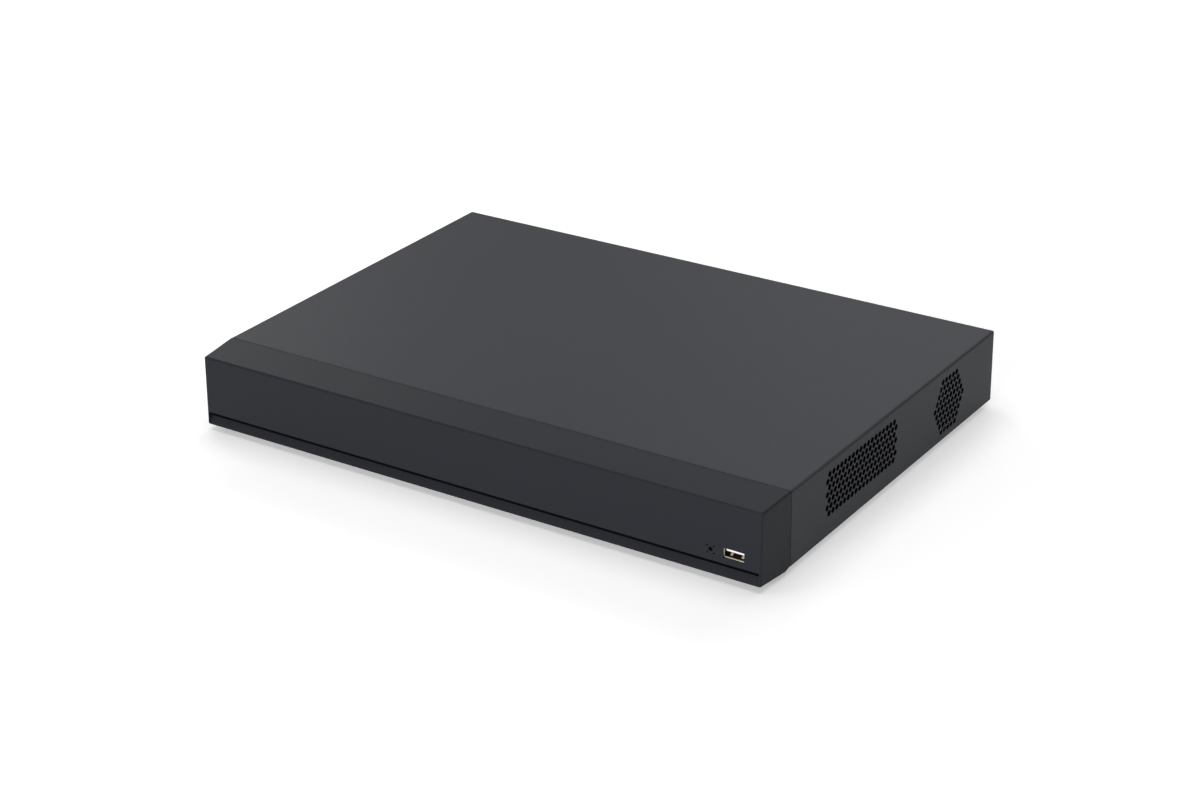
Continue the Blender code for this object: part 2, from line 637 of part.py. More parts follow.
def drive_screw_places():
    """Where the four drive screws come up through the floor, under the fitted drive."""
    return [(DRIVE_X + side * DRIVE_HOLE_X, DRIVE_REAR_Y - back)
            for back in DRIVE_HOLES_Y for side in (-1, 1)]


def floor_openings():
    """Cutter for the floor's slots, its drive screw holes and the free bay's screw holes."""
    shape = bmesh.new()
    width, length = FLOOR_SLOT
    middle_y = DRIVE_FRONT_Y + DRIVE_LENGTH / 2
    for centre in (DRIVE_X, BAY_X):
        for slot in range(FLOOR_SLOTS):
            x = centre + (slot - (FLOOR_SLOTS - 1) / 2) * FLOOR_SLOT_PITCH
            add_block(shape, (x - width / 2, middle_y - length / 2, TRAY_LOW - THROUGH),
                      (x + width / 2, middle_y + length / 2, FLOOR + THROUGH))
    radius = SCREW_SHANK_RADIUS + HOLE_CLEARANCE
    for x, y in drive_screw_places():
        for shift in (0.0, BAY_X - DRIVE_X):
            add_rod(shape, (x + shift, y, TRAY_LOW), radius, 2 * THROUGH, "Z", 10)
    return object_from("floor_openings", shape)


def rear_panel():
    return block("rear_panel", (-TRAY_SIDE, PANEL_IN, FLOOR + GAP), (TRAY_SIDE, PANEL_OUT, WALL_TOP),
                 POWDER_BLACK)


def feet():
    radius = FOOT_RADIUS
    profile = [(0.0, FOOT_HEIGHT), (radius, FOOT_HEIGHT), (radius, FOOT_CHAMFER),
               (radius - FOOT_CHAMFER, 0.0), (0.0, 0.0)]
    for end, y in (("front", FRONT + FOOT_INSET_FRONT), ("rear", BACK - FOOT_INSET_BACK)):
        for side, x in (("left", FOOT_INSET_X - SIDE), ("right", SIDE - FOOT_INSET_X)):
            turned(f"foot_{end}_{side}", profile, (x, y, 0.0), "Z", 20, RUBBER)


# ================================================================ bezel and front board
def front_face(height):
    """y of the bezel's leaning front face at a height above its lower edge."""
    return FRONT + BEZEL_LEAN * height / (CASE_HEIGHT - BEZEL_DROP)


def wedge(inset, rear):
    """Box that draws in towards the front on both sides and on top, a given wall inside the bezel."""
    shape = bmesh.new()
    corners = add_block(shape, (inset - SIDE, FRONT + inset, BASE + inset), (SIDE - inset, rear, TOP - inset))
    for corner in corners:
        if corner.co.y < (FRONT + rear) / 2:
            corner.co.x -= math.copysign(BEZEL_TAPER, corner.co.x)
            if corner.co.z > (BASE + TOP) / 2:
                corner.co += Vector((0.0, BEZEL_LEAN, -BEZEL_DROP))
    return shape


def bezel_body():
    """Outside of the bezel, with its dipping underside and rounded front and long edges."""
    rear = FRONT + BEZEL_DEPTH
    shape = wedge(0.0, rear)
    split = bmesh.ops.bisect_plane(shape, geom=shape.verts[:] + shape.edges[:] + shape.faces[:],
                                   plane_co=(0.0, FRONT + KEEL_BACK, 0.0), plane_no=(0.0, 1.0, 0.0))
    keel_line = [item for item in split["geom_cut"] if isinstance(item, bmesh.types.BMEdge)]
    for item in split["geom_cut"]:
        if isinstance(item, bmesh.types.BMVert) and item.co.z < (BASE + TOP) / 2:
            item.co.z = BASE - KEEL_DEPTH
    rounded = [edge for edge in shape.edges
               if edge not in keel_line and min(v.co.y for v in edge.verts) < rear - BEZEL_EDGE]
    bmesh.ops.bevel(shape, geom=rounded, offset=BEZEL_EDGE, segments=2, profile=0.5, affect="EDGES")
    return object_from("front_bezel", shape, BEZEL_BLACK, smooth=True)


def front_bezel():
    bezel = bezel_body()
    cut(bezel, object_from("bezel_hollow", wedge(BEZEL_WALL, FRONT + BEZEL_DEPTH + THROUGH)))
    cheek = SIDE - BEZEL_TAPER - GROOVE_CHEEK
    join(bezel, block("lower_lip", (-cheek - GAP, FRONT + LIP_ROOT, BASE + LIP_ROOT),
                      (cheek + GAP, FRONT + LIP_DEPTH, BASE + GROOVE_LOW)))
    slope = (GROOVE_LOW - LIP_START) / LIP_SETBACK
    ahead = 1.0 * MM
    groove = [(FRONT - ahead, BASE + LIP_START - ahead * slope),
              (FRONT + LIP_SETBACK, BASE + GROOVE_LOW),
              (FRONT + GROOVE_DEPTH, BASE + GROOVE_LOW),
              (FRONT + GROOVE_DEPTH, BASE + GROOVE_HIGH),
              (FRONT - ahead, BASE + GROOVE_HIGH)]
    cut(bezel, prism("groove", groove, "X", -cheek, cheek))

    usb_x, usb_z = SIDE - USB_RIGHT, BASE + USB_HEIGHT
    usb_face = front_face(USB_HEIGHT)
    cut(bezel, block("usb_opening",
                     (usb_x - USB_OPENING[0] / 2, FRONT - THROUGH, usb_z - USB_OPENING[1] / 2),
                     (usb_x + USB_OPENING[0] / 2, FRONT + THROUGH, usb_z + USB_OPENING[1] / 2)))
    pocket_x = USB_SHELL[0] / 2 + GAP
    pocket_z = USB_SHELL[1] / 2 + GAP
    cut(bezel, block("usb_pocket", (usb_x - pocket_x, usb_face + USB_POCKET_SETBACK, usb_z - pocket_z),
                     (usb_x + pocket_x, FRONT + THROUGH, usb_z + pocket_z)))
    sounder = bmesh.new()
    centre_x = SIDE - SOUNDER_RIGHT
    add_rod(sounder, (centre_x, FRONT, usb_z), SOUNDER_HOLE, 2 * THROUGH, "Y", 12)
    for across in (-1, 1):
        for up in (-1, 1):
            place = (centre_x + across * SOUNDER_SIDE_OFFSET, FRONT, usb_z + up * SOUNDER_SIDE_OFFSET)
            add_rod(sounder, place, SOUNDER_SIDE_HOLE, 2 * THROUGH, "Y", 8)
    cut(bezel, object_from("sounder_holes", sounder))
    for index, (low, high) in enumerate(clip_roots() + clip_boxes()):
        join(bezel, block(f"clip_{index}", low, high))


def light_guide():
    half = SIDE - BEZEL_TAPER - BEZEL_WALL - BEZEL_INNER_GAP
    front = FRONT + LIP_DEPTH - GUIDE_OVERLAP
    block("light_guide", (-half, front, BASE + GROOVE_LOW + GAP),
          (half - FRONT_BOARD_SIZE[0] - 2 * BEZEL_INNER_GAP, front + GUIDE_THICKNESS,
           BASE + GROOVE_HIGH + GUIDE_LIFT), SMOKED_GUIDE)


def usb_socket(prefix, x, z, face, outward, tongue_finish):
    """Metal shell open at its mouth, and the tongue inside it.  outward is -1 or 1 along Y."""
    half_x, half_z = USB_SHELL[0] / 2, USB_SHELL[1] / 2
    wall = USB_SHELL_WALL
    deep = face - outward * USB_LENGTH
    ends = sorted((face, deep))
    shell = block(f"{prefix}_shell", (x - half_x, ends[0], z - half_z), (x + half_x, ends[1], z + half_z),
                  TIN_SHELL)
    mouth = sorted((face + outward * THROUGH, deep + outward * USB_BACK))
    cut(shell, block(f"{prefix}_mouth", (x - half_x + wall, mouth[0], z - half_z + wall),
                     (x + half_x - wall, mouth[1], z + half_z - wall)))
    reach = sorted((face - outward * USB_TONGUE_SETBACK, deep + outward * (USB_BACK + GAP)))
    block(f"{prefix}_tongue", (x - USB_TONGUE[0] / 2, reach[0], z),
          (x + USB_TONGUE[0] / 2, reach[1], z + USB_TONGUE[1]), tongue_finish)


def front_electronics():
    usb_x, usb_z = SIDE - USB_RIGHT, BASE + USB_HEIGHT
    usb_socket("front_usb", usb_x, usb_z, front_face(USB_HEIGHT) + USB_SETBACK, -1, WHITE_PLASTIC)
    right = SIDE - BEZEL_TAPER - BEZEL_WALL - BEZEL_INNER_GAP
    low = BASE + GROOVE_LOW + GAP
    board_front = front_face(USB_HEIGHT) + USB_SETBACK + USB_LENGTH + GAP
    block("front_board", (right - FRONT_BOARD_SIZE[0], board_front, low),
          (right, board_front + BOARD_THICKNESS, low + FRONT_BOARD_SIZE[1]), GREEN_BOARD)
    mouth = SOUNDER_LENGTH - SOUNDER_MOUTH
    can = [(0.0, mouth), (SOUNDER_HOLE, mouth), (SOUNDER_HOLE, SOUNDER_LENGTH),
           (SOUNDER_RADIUS, SOUNDER_LENGTH), (SOUNDER_RADIUS, 0.0), (0.0, 0.0)]
    turned("sounder", can, (SIDE - SOUNDER_RIGHT, board_front - GAP, usb_z), "-Y", 20, BLACK_PLASTIC)


# ================================================================ main board
def comb(width, base, height, fins, fin):
    """Outline of a finned heat sink, centred on zero, standing on zero."""
    points = [(-width / 2, 0.0), (width / 2, 0.0)]
    pitch = (width - fin) / (fins - 1)
    for index in reversed(range(fins)):
        left = -width / 2 + index * pitch
        points += [(left + fin, base + height), (left, base + height)]
        if index:
            points += [(left, base), (left - pitch + fin, base)]
    return points


def post_places():
    return [(x, y) for y in (BOARD_FRONT + POST_INSET, BOARD_BACK - BNC_BODY_DEPTH - POST_INSET)
            for x in (BOARD_LEFT + POST_INSET, BOARD_RIGHT - POST_INSET)]


def main_board():
    block("main_board", (BOARD_LEFT, BOARD_FRONT, BOARD_LOW), (BOARD_RIGHT, BOARD_BACK, BOARD_TOP),
          GREEN_BOARD)
    for index, (x, y) in enumerate(post_places(), 1):
        middle = (x, y, (FLOOR + BOARD_LOW) / 2)
        rod(f"board_post_{index}", middle, POST_FLATS / math.sqrt(3), POST_HEIGHT - 2 * GAP, "Z", 6, NICKEL)
    middle_y = BOARD_FRONT + SINK_SIZE / 2 + SINK_INSET
    chip_low = BOARD_TOP + GAP
    half = CHIP_SIZE / 2
    block("processor", (-half, middle_y - half, chip_low), (half, middle_y + half, chip_low + CHIP_HEIGHT),
          CHIP_BLACK)
    sink_low = chip_low + CHIP_HEIGHT + GAP
    outline = [(x, sink_low + z) for x, z in comb(SINK_SIZE, SINK_BASE, SINK_FIN_HEIGHT, SINK_FINS, SINK_FIN)]
    prism("heat_sink", outline, "Y", middle_y - SINK_SIZE / 2, middle_y + SINK_SIZE / 2, BLACK_ALUMINIUM)
    cell_x = SINK_SIZE / 2 + CELL_RADIUS + CELL_SPACING
    profile = [(0.0, CELL_HEIGHT), (CELL_RADIUS - CELL_CHAMFER, CELL_HEIGHT),
               (CELL_RADIUS, CELL_HEIGHT - CELL_CHAMFER), (CELL_RADIUS, 0.0), (0.0, 0.0)]
    turned("clock_battery", profile, (cell_x, middle_y, chip_low), "Z", 20, STEEL)


# ================================================================ rear sockets
def camera_sockets(panel):
    """Two stacked bayonet sockets in each module, one module to a column."""
    reach = BACK + JACK_REACH
    bush_end = PANEL_OUT + BNC_BUSH_REACH
    body_low = BOARD_TOP + GAP
    body_high = BOARD_TOP + BNC_TOP + BNC_TOP_WALL
    seat = PANEL_IN - GAP
    radius = BNC_BUSH_RADIUS + HOLE_CLEARANCE
    profile = [(0.0, reach - BNC_CORE_SETBACK), (BNC_CORE_RADIUS, reach - BNC_CORE_SETBACK),
               (BNC_CORE_RADIUS, reach - BNC_BORE_DEPTH), (BNC_BORE_RADIUS, reach - BNC_BORE_DEPTH),
               (BNC_BORE_RADIUS, reach), (BNC_BARREL_RADIUS, reach), (BNC_BARREL_RADIUS, bush_end),
               (BNC_BUSH_RADIUS, bush_end), (BNC_BUSH_RADIUS, seat - SOCKET_ROOT), (0.0, seat - SOCKET_ROOT)]
    for column in range(BNC_COLUMNS):
        x = SIDE - BNC_FIRST - column * BNC_PITCH
        low = (x - BNC_BODY_WIDTH / 2, seat - BNC_BODY_DEPTH, body_low)
        high = (x + BNC_BODY_WIDTH / 2, seat, body_high)
        module = block(f"camera_socket_{column + 1}", low, high, NICKEL)
        for level in range(2):
            z = BOARD_TOP + BNC_LOW + level * BNC_ROW
            barrel = turned(f"barrel_{column + 1}_{level}", profile, (x, 0.0, z), "Y", 12)
            join(module, barrel)
            hole = (x, PANEL_OUT, z)
            cut(panel, rod(f"barrel_hole_{column + 1}_{level}", hole, radius, 2 * THROUGH, "Y", 12))


def port_body(name, x, size, finish, reach=PORT_REACH):
    """Box on the board that looks out through the panel; returns it and its corners."""
    width, height, depth = size
    low = Vector((x - width / 2, PANEL_IN - depth, BOARD_TOP + GAP))
    high = Vector((x + width / 2, PANEL_OUT + reach, BOARD_TOP + GAP + height))
    return block(name, low, high, finish), low, high


def panel_window(panel, name, low, high, margin=HOLE_CLEARANCE):
    cut(panel, block(name, (low[0] - margin, PANEL_IN - THROUGH, low[2] - margin),
                     (high[0] + margin, PANEL_OUT + THROUGH, high[2] + margin)))


def audio_sockets(panel, x):
    width, height, depth = RCA_BODY
    seat = PANEL_IN - GAP
    body = block("audio_sockets", (x - width / 2, seat - depth, BOARD_TOP + GAP),
                 (x + width / 2, seat, BOARD_TOP + GAP + height), BLACK_PLASTIC)
    end = PANEL_OUT + RCA_REACH
    profile = [(0.0, end - RCA_BORE_DEPTH), (RCA_BORE, end - RCA_BORE_DEPTH), (RCA_BORE, end),
               (RCA_RADIUS, end), (RCA_RADIUS, seat - SOCKET_ROOT), (0.0, seat - SOCKET_ROOT)]
    middle = BOARD_TOP + GAP + height / 2
    for across in (-1, 1):
        for up in (-1, 1):
            centre = (x + across * RCA_PITCH / 2, 0.0, middle + up * RCA_ROW_PITCH / 2)
            join(body, turned(f"audio_{across}_{up}", profile, centre, "Y", 14))
            hole = (centre[0], PANEL_OUT, centre[2])
            radius = RCA_RADIUS + HOLE_CLEARANCE
            cut(panel, rod(f"audio_hole_{across}_{up}", hole, radius, 2 * THROUGH, "Y", 14))


def monitor_socket(panel, x):
    width, height, depth = VGA_BODY
    seat = PANEL_IN - GAP
    middle = BOARD_TOP + GAP + height / 2
    body = block("vga_socket", (x - width / 2, seat - depth, BOARD_TOP + GAP),
                 (x + width / 2, seat, BOARD_TOP + GAP + height), BLUE_PLASTIC)
    half_x, half_z = VGA_SHELL[0] / 2, VGA_SHELL[1] / 2
    end = PANEL_OUT + VGA_REACH

    def shell_outline(margin):
        wide, tall = half_x + margin, half_z + margin
        return [(x - wide, middle + tall), (x + wide, middle + tall),
                (x + wide - VGA_SKIRT, middle - tall), (x - wide + VGA_SKIRT, middle - tall)]

    start = seat - SOCKET_ROOT
    join(body, prism("vga_shell", shell_outline(0.0), "Y", start, end))
    window = shell_outline(HOLE_CLEARANCE)
    cut(panel, prism("vga_window", window, "Y", PANEL_IN - THROUGH, PANEL_OUT + THROUGH))
    post_end = PANEL_OUT + VGA_POST_REACH
    radius = VGA_POST_FLATS / math.sqrt(3)
    for side in (-1, 1):
        centre = (x + side * VGA_POST_OFFSET, (start + post_end) / 2, middle)
        join(body, rod(f"vga_post_{side}", centre, radius, post_end - start, "Y", 6))
        hole = (centre[0], PANEL_OUT, middle)
        cut(panel, rod(f"vga_post_hole_{side}", hole, radius + HOLE_CLEARANCE, 2 * THROUGH, "Y", 10))


def hdmi_socket(panel, x):
    body, low, high = port_body("hdmi_socket", x, HDMI_BODY, TIN_SHELL)
    panel_window(panel, "hdmi_window", low, high)
    middle = (low.z + high.z) / 2
    wide, tall, deep = HDMI_OPENING
    cut(body, block("hdmi_mouth", (x - wide / 2, high.y - deep, middle - tall / 2),
                    (x + wide / 2, high.y + THROUGH, middle + tall / 2)))
    wide, tall, reach = HDMI_TONGUE
    join(body, block("hdmi_tongue", (x - wide / 2, high.y - deep - SOCKET_ROOT, middle - tall / 2),
                     (x + wide / 2, high.y - deep + reach, middle + tall / 2)))


def network_socket(panel, x):
    body, low, high = port_body("network_socket", x, LAN_BODY, TIN_SHELL)
    panel_window(panel, "network_window", low, high)
    wide, tall, deep = LAN_OPENING
    sill = low.z + LAN_SILL
    cut(body, block("network_mouth", (x - wide / 2, high.y - deep, sill),
                    (x + wide / 2, high.y + THROUGH, sill + tall)))
    latch_wide, latch_tall = LAN_LATCH
    cut(body, block("network_latch", (x - latch_wide / 2, high.y - deep, sill - latch_tall),
                    (x + latch_wide / 2, high.y + THROUGH, sill + GAP)))


def rear_usb(panel, x):
    half_x, half_z = USB_SHELL[0] / 2, USB_SHELL[1] / 2
    z = BOARD_TOP + GAP + half_z
    usb_socket("rear_usb", x, z, PANEL_OUT + PORT_REACH, 1, BLACK_PLASTIC)
    panel_window(panel, "rear_usb_window", (x - half_x, 0.0, z - half_z), (x + half_x, 0.0, z + half_z))


def terminal_block(panel, x):
    width = TERMINAL_WAYS * TERMINAL_PITCH
    size = (width, TERMINAL_HEIGHT, TERMINAL_DEPTH)
    body, low, high = port_body("terminal_block", x, size, GREEN_PLASTIC, TERMINAL_REACH)
    panel_window(panel, "terminal_window", low, high)
    shape = bmesh.new()
    hole_x, hole_z, hole_y = TERMINAL_HOLE
    hole_low = low.z + TERMINAL_HOLE_HEIGHT
    for way in range(TERMINAL_WAYS):
        centre = low.x + (way + 0.5) * TERMINAL_PITCH
        add_block(shape, (centre - hole_x / 2, high.y - hole_y, hole_low),
                  (centre + hole_x / 2, high.y + THROUGH, hole_low + hole_z))
    cut(body, object_from("terminal_holes", shape))


def power_jack(panel):
    x = SIDE - DC_RIGHT
    width, height, depth = DC_BODY
    seat = PANEL_IN - GAP
    z = BOARD_TOP + DC_HEIGHT
    body = block("power_jack", (x - width / 2, seat - depth, BOARD_TOP + GAP),
                 (x + width / 2, seat, BOARD_TOP + GAP + height), BLACK_PLASTIC)
    end = PANEL_OUT + DC_NOSE_REACH
    start = seat - SOCKET_ROOT
    join(body, rod("jack_nose", (x, (start + end) / 2, z), DC_NOSE_RADIUS, end - start, "Y", 14))
    bore = rod("jack_bore", (x, end, z), DC_BORE_RADIUS, 2 * DC_BORE_DEPTH, "Y", 14)
    pin_end = end - DC_PIN_SETBACK
    cut(bore, rod("jack_pin", (x, pin_end - DC_BORE_DEPTH, z), DC_PIN_RADIUS, 2 * DC_BORE_DEPTH, "Y", 8))
    cut(body, bore)
    hole = (x, PANEL_OUT, z)
    cut(panel, rod("jack_hole", hole, DC_NOSE_RADIUS + HOLE_CLEARANCE, 2 * THROUGH, "Y", 14))


def power_switch(panel):
    """Snap-in frame, and the rocker on a cross pin through its middle."""
    x, z = SIDE - SWITCH_RIGHT, BASE + SWITCH_HEIGHT
    width, height, rim = SWITCH_FRAME
    inner_width, inner_height, depth = SWITCH_BODY
    body = block("power_switch_frame", (x - width / 2, PANEL_OUT + GAP, z - height / 2),
                 (x + width / 2, PANEL_OUT + GAP + rim, z + height / 2), BLACK_PLASTIC)
    join(body, block("switch_body", (x - inner_width / 2, PANEL_OUT - depth, z - inner_height / 2),
                     (x + inner_width / 2, PANEL_OUT + GAP + rim / 2, z + inner_height / 2)))
    panel_window(panel, "switch_window", (x - inner_width / 2, 0.0, z - inner_height / 2),
                 (x + inner_width / 2, 0.0, z + inner_height / 2))
    cell_x = ROCKER_SIZE[0] / 2 + ROCKER_CLEARANCE
    cell_z = ROCKER_SIZE[1] / 2 + ROCKER_CLEARANCE
    face = PANEL_OUT + GAP + rim
    cut(body, block("switch_cell", (x - cell_x, face - ROCKER_DEPTH - ROCKER_ROOM, z - cell_z),
                    (x + cell_x, face + THROUGH, z + cell_z)))
    rocker = prism("power_rocker", rocker_outline(), "X", x - ROCKER_SIZE[0] / 2, x + ROCKER_SIZE[0] / 2,
                   BLACK_PLASTIC)
    rocker.location = (0.0, face, z)


def rocker_outline():
    """Side view about the pin: two flats that meet in a shallow valley, tipped to the off side."""
    half = ROCKER_SIZE[1] / 2 - ROCKER_CLEARANCE
    valley = ROCKER_STANDOUT - half * math.tan(ROCKER_HALF_SWING)
    level = [(-ROCKER_DEPTH, -half / 2), (0.0, -half), (ROCKER_STANDOUT, -half), (valley, 0.0),
             (ROCKER_STANDOUT, half), (0.0, half), (-ROCKER_DEPTH, half / 2)]
    turn = Matrix.Rotation(ROCKER_HALF_SWING, 2)
    return [tuple(turn @ Vector(point)) for point in level]


def rear_sockets(panel):
    camera_sockets(panel)
    power_jack(panel)
    power_switch(panel)
    edge = SIDE - BNC_FIRST - (BNC_COLUMNS - 1) * BNC_PITCH - BNC_BODY_WIDTH / 2
    makers = [(audio_sockets, RCA_BODY[0]), (monitor_socket, VGA_BODY[0]), (hdmi_socket, HDMI_BODY[0]),
              (network_socket, LAN_BODY[0]), (rear_usb, USB_SHELL[0]),
              (terminal_block, TERMINAL_WAYS * TERMINAL_PITCH)]
    for maker, width in makers:
        edge -= PORT_SPACING
        maker(panel, edge - width / 2)
        edge -= width


def rear_fasteners(panel):
    for side, label in ((-1, "left"), (1, "right")):
        x = side * (COVER_IN - TAB_INSET)
        z = cover_screw_height()
        cut(panel, shank_hole(f"cover_screw_hole_{label}", (x, PANEL_OUT, z), "Y", THROUGH))
        pan_screw(f"cover_screw_{label}", (x, BACK + GAP, z), "Y", BLACK_SCREW)
    height = BOARD_TOP + GAP + TERMINAL_HEIGHT + GROUND_LIFT
    place = (-SIDE + GROUND_LEFT, PANEL_OUT, height)
    cut(panel, shank_hole("ground_hole", place, "Y", THROUGH))
    pan_screw("ground_screw", (place[0], PANEL_OUT + GAP, place[2]), "Y", NICKEL)


# ================================================================ fan
def fan():
    half = FAN_SIZE / 2
    foot_z = FLOOR + GAP
    bracket = block("fan_bracket", (BRACKET_OUT - SHEET, FAN_Y - half, foot_z),
                    (BRACKET_OUT, FAN_Y + half, FAN_Z + half), ZINC_SHEET)
    bore = half - FAN_RIM
    corner = half - FAN_SCREW_INSET
    cut(bracket, rod("bracket_bore", (BRACKET_OUT, FAN_Y, FAN_Z), bore, 2 * THROUGH, "X", 28))
    frame = block("fan_frame", (FAN_IN, FAN_Y - half, FAN_Z - half), (FAN_OUT, FAN_Y + half, FAN_Z + half),
                  BLACK_PLASTIC)
    cut(frame, rod("fan_bore", ((FAN_IN + FAN_OUT) / 2, FAN_Y, FAN_Z), bore, FAN_DEPTH + THROUGH, "X", 28))
    for y_side in (-1, 1):
        for z_side in (-1, 1):
            place = (FAN_OUT, FAN_Y + y_side * corner, FAN_Z + z_side * corner)
            cut(frame, rod(f"fan_hole_{y_side}_{z_side}", place, FAN_SCREW_RADIUS, 3 * FAN_DEPTH, "X", 8))
            cut(bracket, rod(f"bracket_hole_{y_side}_{z_side}", place, FAN_SCREW_RADIUS, 2 * THROUGH, "X", 8))
    for index in range(FAN_STRUTS):
        strut = block(f"fan_strut_{index}", (0.0, -FAN_STRUT / 2, 0.0),
                      (FAN_STRUT, FAN_STRUT / 2, bore + FAN_RIM / 2))
        turn = 2 * math.pi * index / FAN_STRUTS + FAN_STRUT_TURN
        strut.matrix_world = Matrix.Translation((FAN_IN, FAN_Y, FAN_Z)) @ Matrix.Rotation(turn, 4, "X")
        join(frame, strut)
    plate = (FAN_IN + FAN_STRUT / 2, FAN_Y, FAN_Z)
    join(frame, rod("fan_motor_plate", plate, FAN_HUB_RADIUS, FAN_STRUT, "X", 20))
    fan_rotor(bore)


def fan_rotor(bore):
    hub_in = FAN_IN + FAN_STRUT + FAN_HUB_GAP
    profile = [(0.0, FAN_HUB_LENGTH), (FAN_HUB_RADIUS - FAN_HUB_CHAMFER, FAN_HUB_LENGTH),
               (FAN_HUB_RADIUS, FAN_HUB_LENGTH - FAN_HUB_CHAMFER), (FAN_HUB_RADIUS, 0.0), (0.0, 0.0)]
    rotor = turned("fan_rotor", profile, (hub_in, FAN_Y, FAN_Z), "X", 20, BLACK_PLASTIC)
    tip = blade_tip(bore - FAN_BLADE_CLEARANCE)
    root = FAN_HUB_RADIUS - FAN_BLADE_ROOT
    middle = hub_in + FAN_HUB_LENGTH / 2
    half_thick, half_wide = FAN_BLADE_THICKNESS / 2, FAN_BLADE_CHORD / 2
    for index in range(FAN_BLADES):
        blade = block(f"fan_blade_{index}", (-half_thick, -half_wide, root), (half_thick, half_wide, tip))
        blade.matrix_world = (Matrix.Translation((middle, FAN_Y, FAN_Z))
                              @ Matrix.Rotation(2 * math.pi * index / FAN_BLADES, 4, "X")
                              @ Matrix.Rotation(FAN_BLADE_PITCH, 4, "Z"))
        join(rotor, blade)


def blade_tip(tip_radius):
    """Height of a flat blade whose end corners reach the tip radius."""
    half_width = FAN_BLADE_CHORD / 2 * math.cos(FAN_BLADE_PITCH)
    return math.sqrt(tip_radius ** 2 - half_width ** 2)


# ================================================================ hard drive
def hard_drive():
    half = DRIVE_WIDTH / 2
    board_high = DRIVE_LOW + BOARD_THICKNESS
    base_low = board_high + GAP
    lid_low = DRIVE_LOW + DRIVE_HEIGHT - DRIVE_LID
    base_high = lid_low - GAP
    board_back = DRIVE_REAR_Y - DRIVE_BOARD_INSET
    board_x = half - DRIVE_BOARD_INSET
    board = block("drive_board", (DRIVE_X - board_x, board_back - DRIVE_BOARD_LENGTH, DRIVE_LOW),
                  (DRIVE_X + board_x, board_back, board_high), GREEN_BOARD)
    base = block("drive_base", (DRIVE_X - half, DRIVE_FRONT_Y, base_low),
                 (DRIVE_X + half, DRIVE_REAR_Y, base_high), CAST_ALUMINIUM)
    soften(base, DRIVE_EDGE, 1)
    pocket_x = half - DRIVE_WALL
    cut(base, block("drive_pocket", (DRIVE_X - pocket_x, DRIVE_FRONT_Y + DRIVE_WALL, base_low + DRIVE_FLOOR),
                    (DRIVE_X + pocket_x, DRIVE_REAR_Y - DRIVE_TAIL, base_high + THROUGH)))
    notch_x = PLUG_WIDTH / 2 + GAP + PLUG_MARGIN
    notch_front = DRIVE_REAR_Y - PLUG_DEPTH / 2 - GAP
    notch_top = PLUG_LOW + PLUG_HEIGHT + 2 * GAP
    cut(base, block("drive_notch", (DRIVE_X - notch_x, notch_front, base_low - THROUGH),
                    (DRIVE_X + notch_x, DRIVE_REAR_Y + THROUGH, notch_top)))
    lid_x = half - LID_INSET
    lid = block("drive_lid", (DRIVE_X - lid_x, DRIVE_FRONT_Y + LID_INSET, lid_low),
                (DRIVE_X + lid_x, DRIVE_REAR_Y - LID_REAR_INSET, lid_low + DRIVE_LID), STEEL)
    soften(lid, DRIVE_LID * 0.4, 1)
    foot = base_low + DRIVE_FLOOR + SPINDLE_STAND
    platters_and_arm(Vector((DRIVE_X, DRIVE_FRONT_Y + PLATTER_FRONT, foot)))

    thread_depth = SCREW_LENGTH - DRIVE_STAND + THREAD_SPARE
    thread_radius = SCREW_SHANK_RADIUS + HOLE_CLEARANCE
    for index, (x, y) in enumerate(drive_screw_places(), 1):
        cut(base, rod(f"drive_thread_{index}", (x, y, base_low), thread_radius, 2 * thread_depth, "Z", 10))
        place = (x, y, DRIVE_LOW)
        cut(board, rod(f"drive_board_hole_{index}", place, DRIVE_BOARD_HOLE, 2 * THROUGH, "Z", 10))
        pan_screw(f"drive_screw_{index}", (x, y, TRAY_LOW - GAP), "-Z", NICKEL, SCREW_LENGTH + SHEET)


def platters_and_arm(spindle):
    """Two discs on their hub, and the swinging arm with one leaf between them and one above."""
    low_disc = DISC_LOW
    low_top = low_disc + PLATTER_THICKNESS
    high_disc = low_top + PLATTER_SPACE
    high_top = high_disc + PLATTER_THICKNESS
    hub_top = high_top + SPINDLE_CAP
    hub, disc = SPINDLE_RADIUS, PLATTER_RADIUS
    profile = [(0.0, hub_top), (hub, hub_top), (hub, high_top), (disc, high_top), (disc, high_disc),
               (hub, high_disc), (hub, low_top), (disc, low_top), (disc, low_disc), (hub, low_disc),
               (hub, 0.0), (0.0, 0.0)]
    turned("drive_platters", profile, spindle, "Z", 28, PLATTER_MIRROR)

    pivot = spindle + Vector((*PIVOT_OFFSET, 0.0))
    arm_top = hub_top + ARM_THICKNESS
    arm = rod("drive_arm", pivot + Vector((0, 0, arm_top / 2)), PIVOT_RADIUS, arm_top, "Z", 16, STEEL)
    heading = math.atan2(-PIVOT_OFFSET[1], -PIVOT_OFFSET[0]) + ARM_PARKED
    outline = [(-COIL_LENGTH, -ARM_ROOT / 2), (0.0, -ARM_ROOT / 2), (ARM_LENGTH, -ARM_TIP / 2),
               (ARM_LENGTH, ARM_TIP / 2), (0.0, ARM_ROOT / 2), (-COIL_LENGTH, ARM_ROOT / 2)]
    half = ARM_THICKNESS / 2
    for index, middle in enumerate(((low_top + high_disc) / 2, arm_top - half)):
        leaf = prism(f"arm_leaf_{index}", outline, "Z", middle - half, middle + half)
        leaf.matrix_world = Matrix.Translation(pivot) @ Matrix.Rotation(heading, 4, "Z")
        join(arm, leaf)


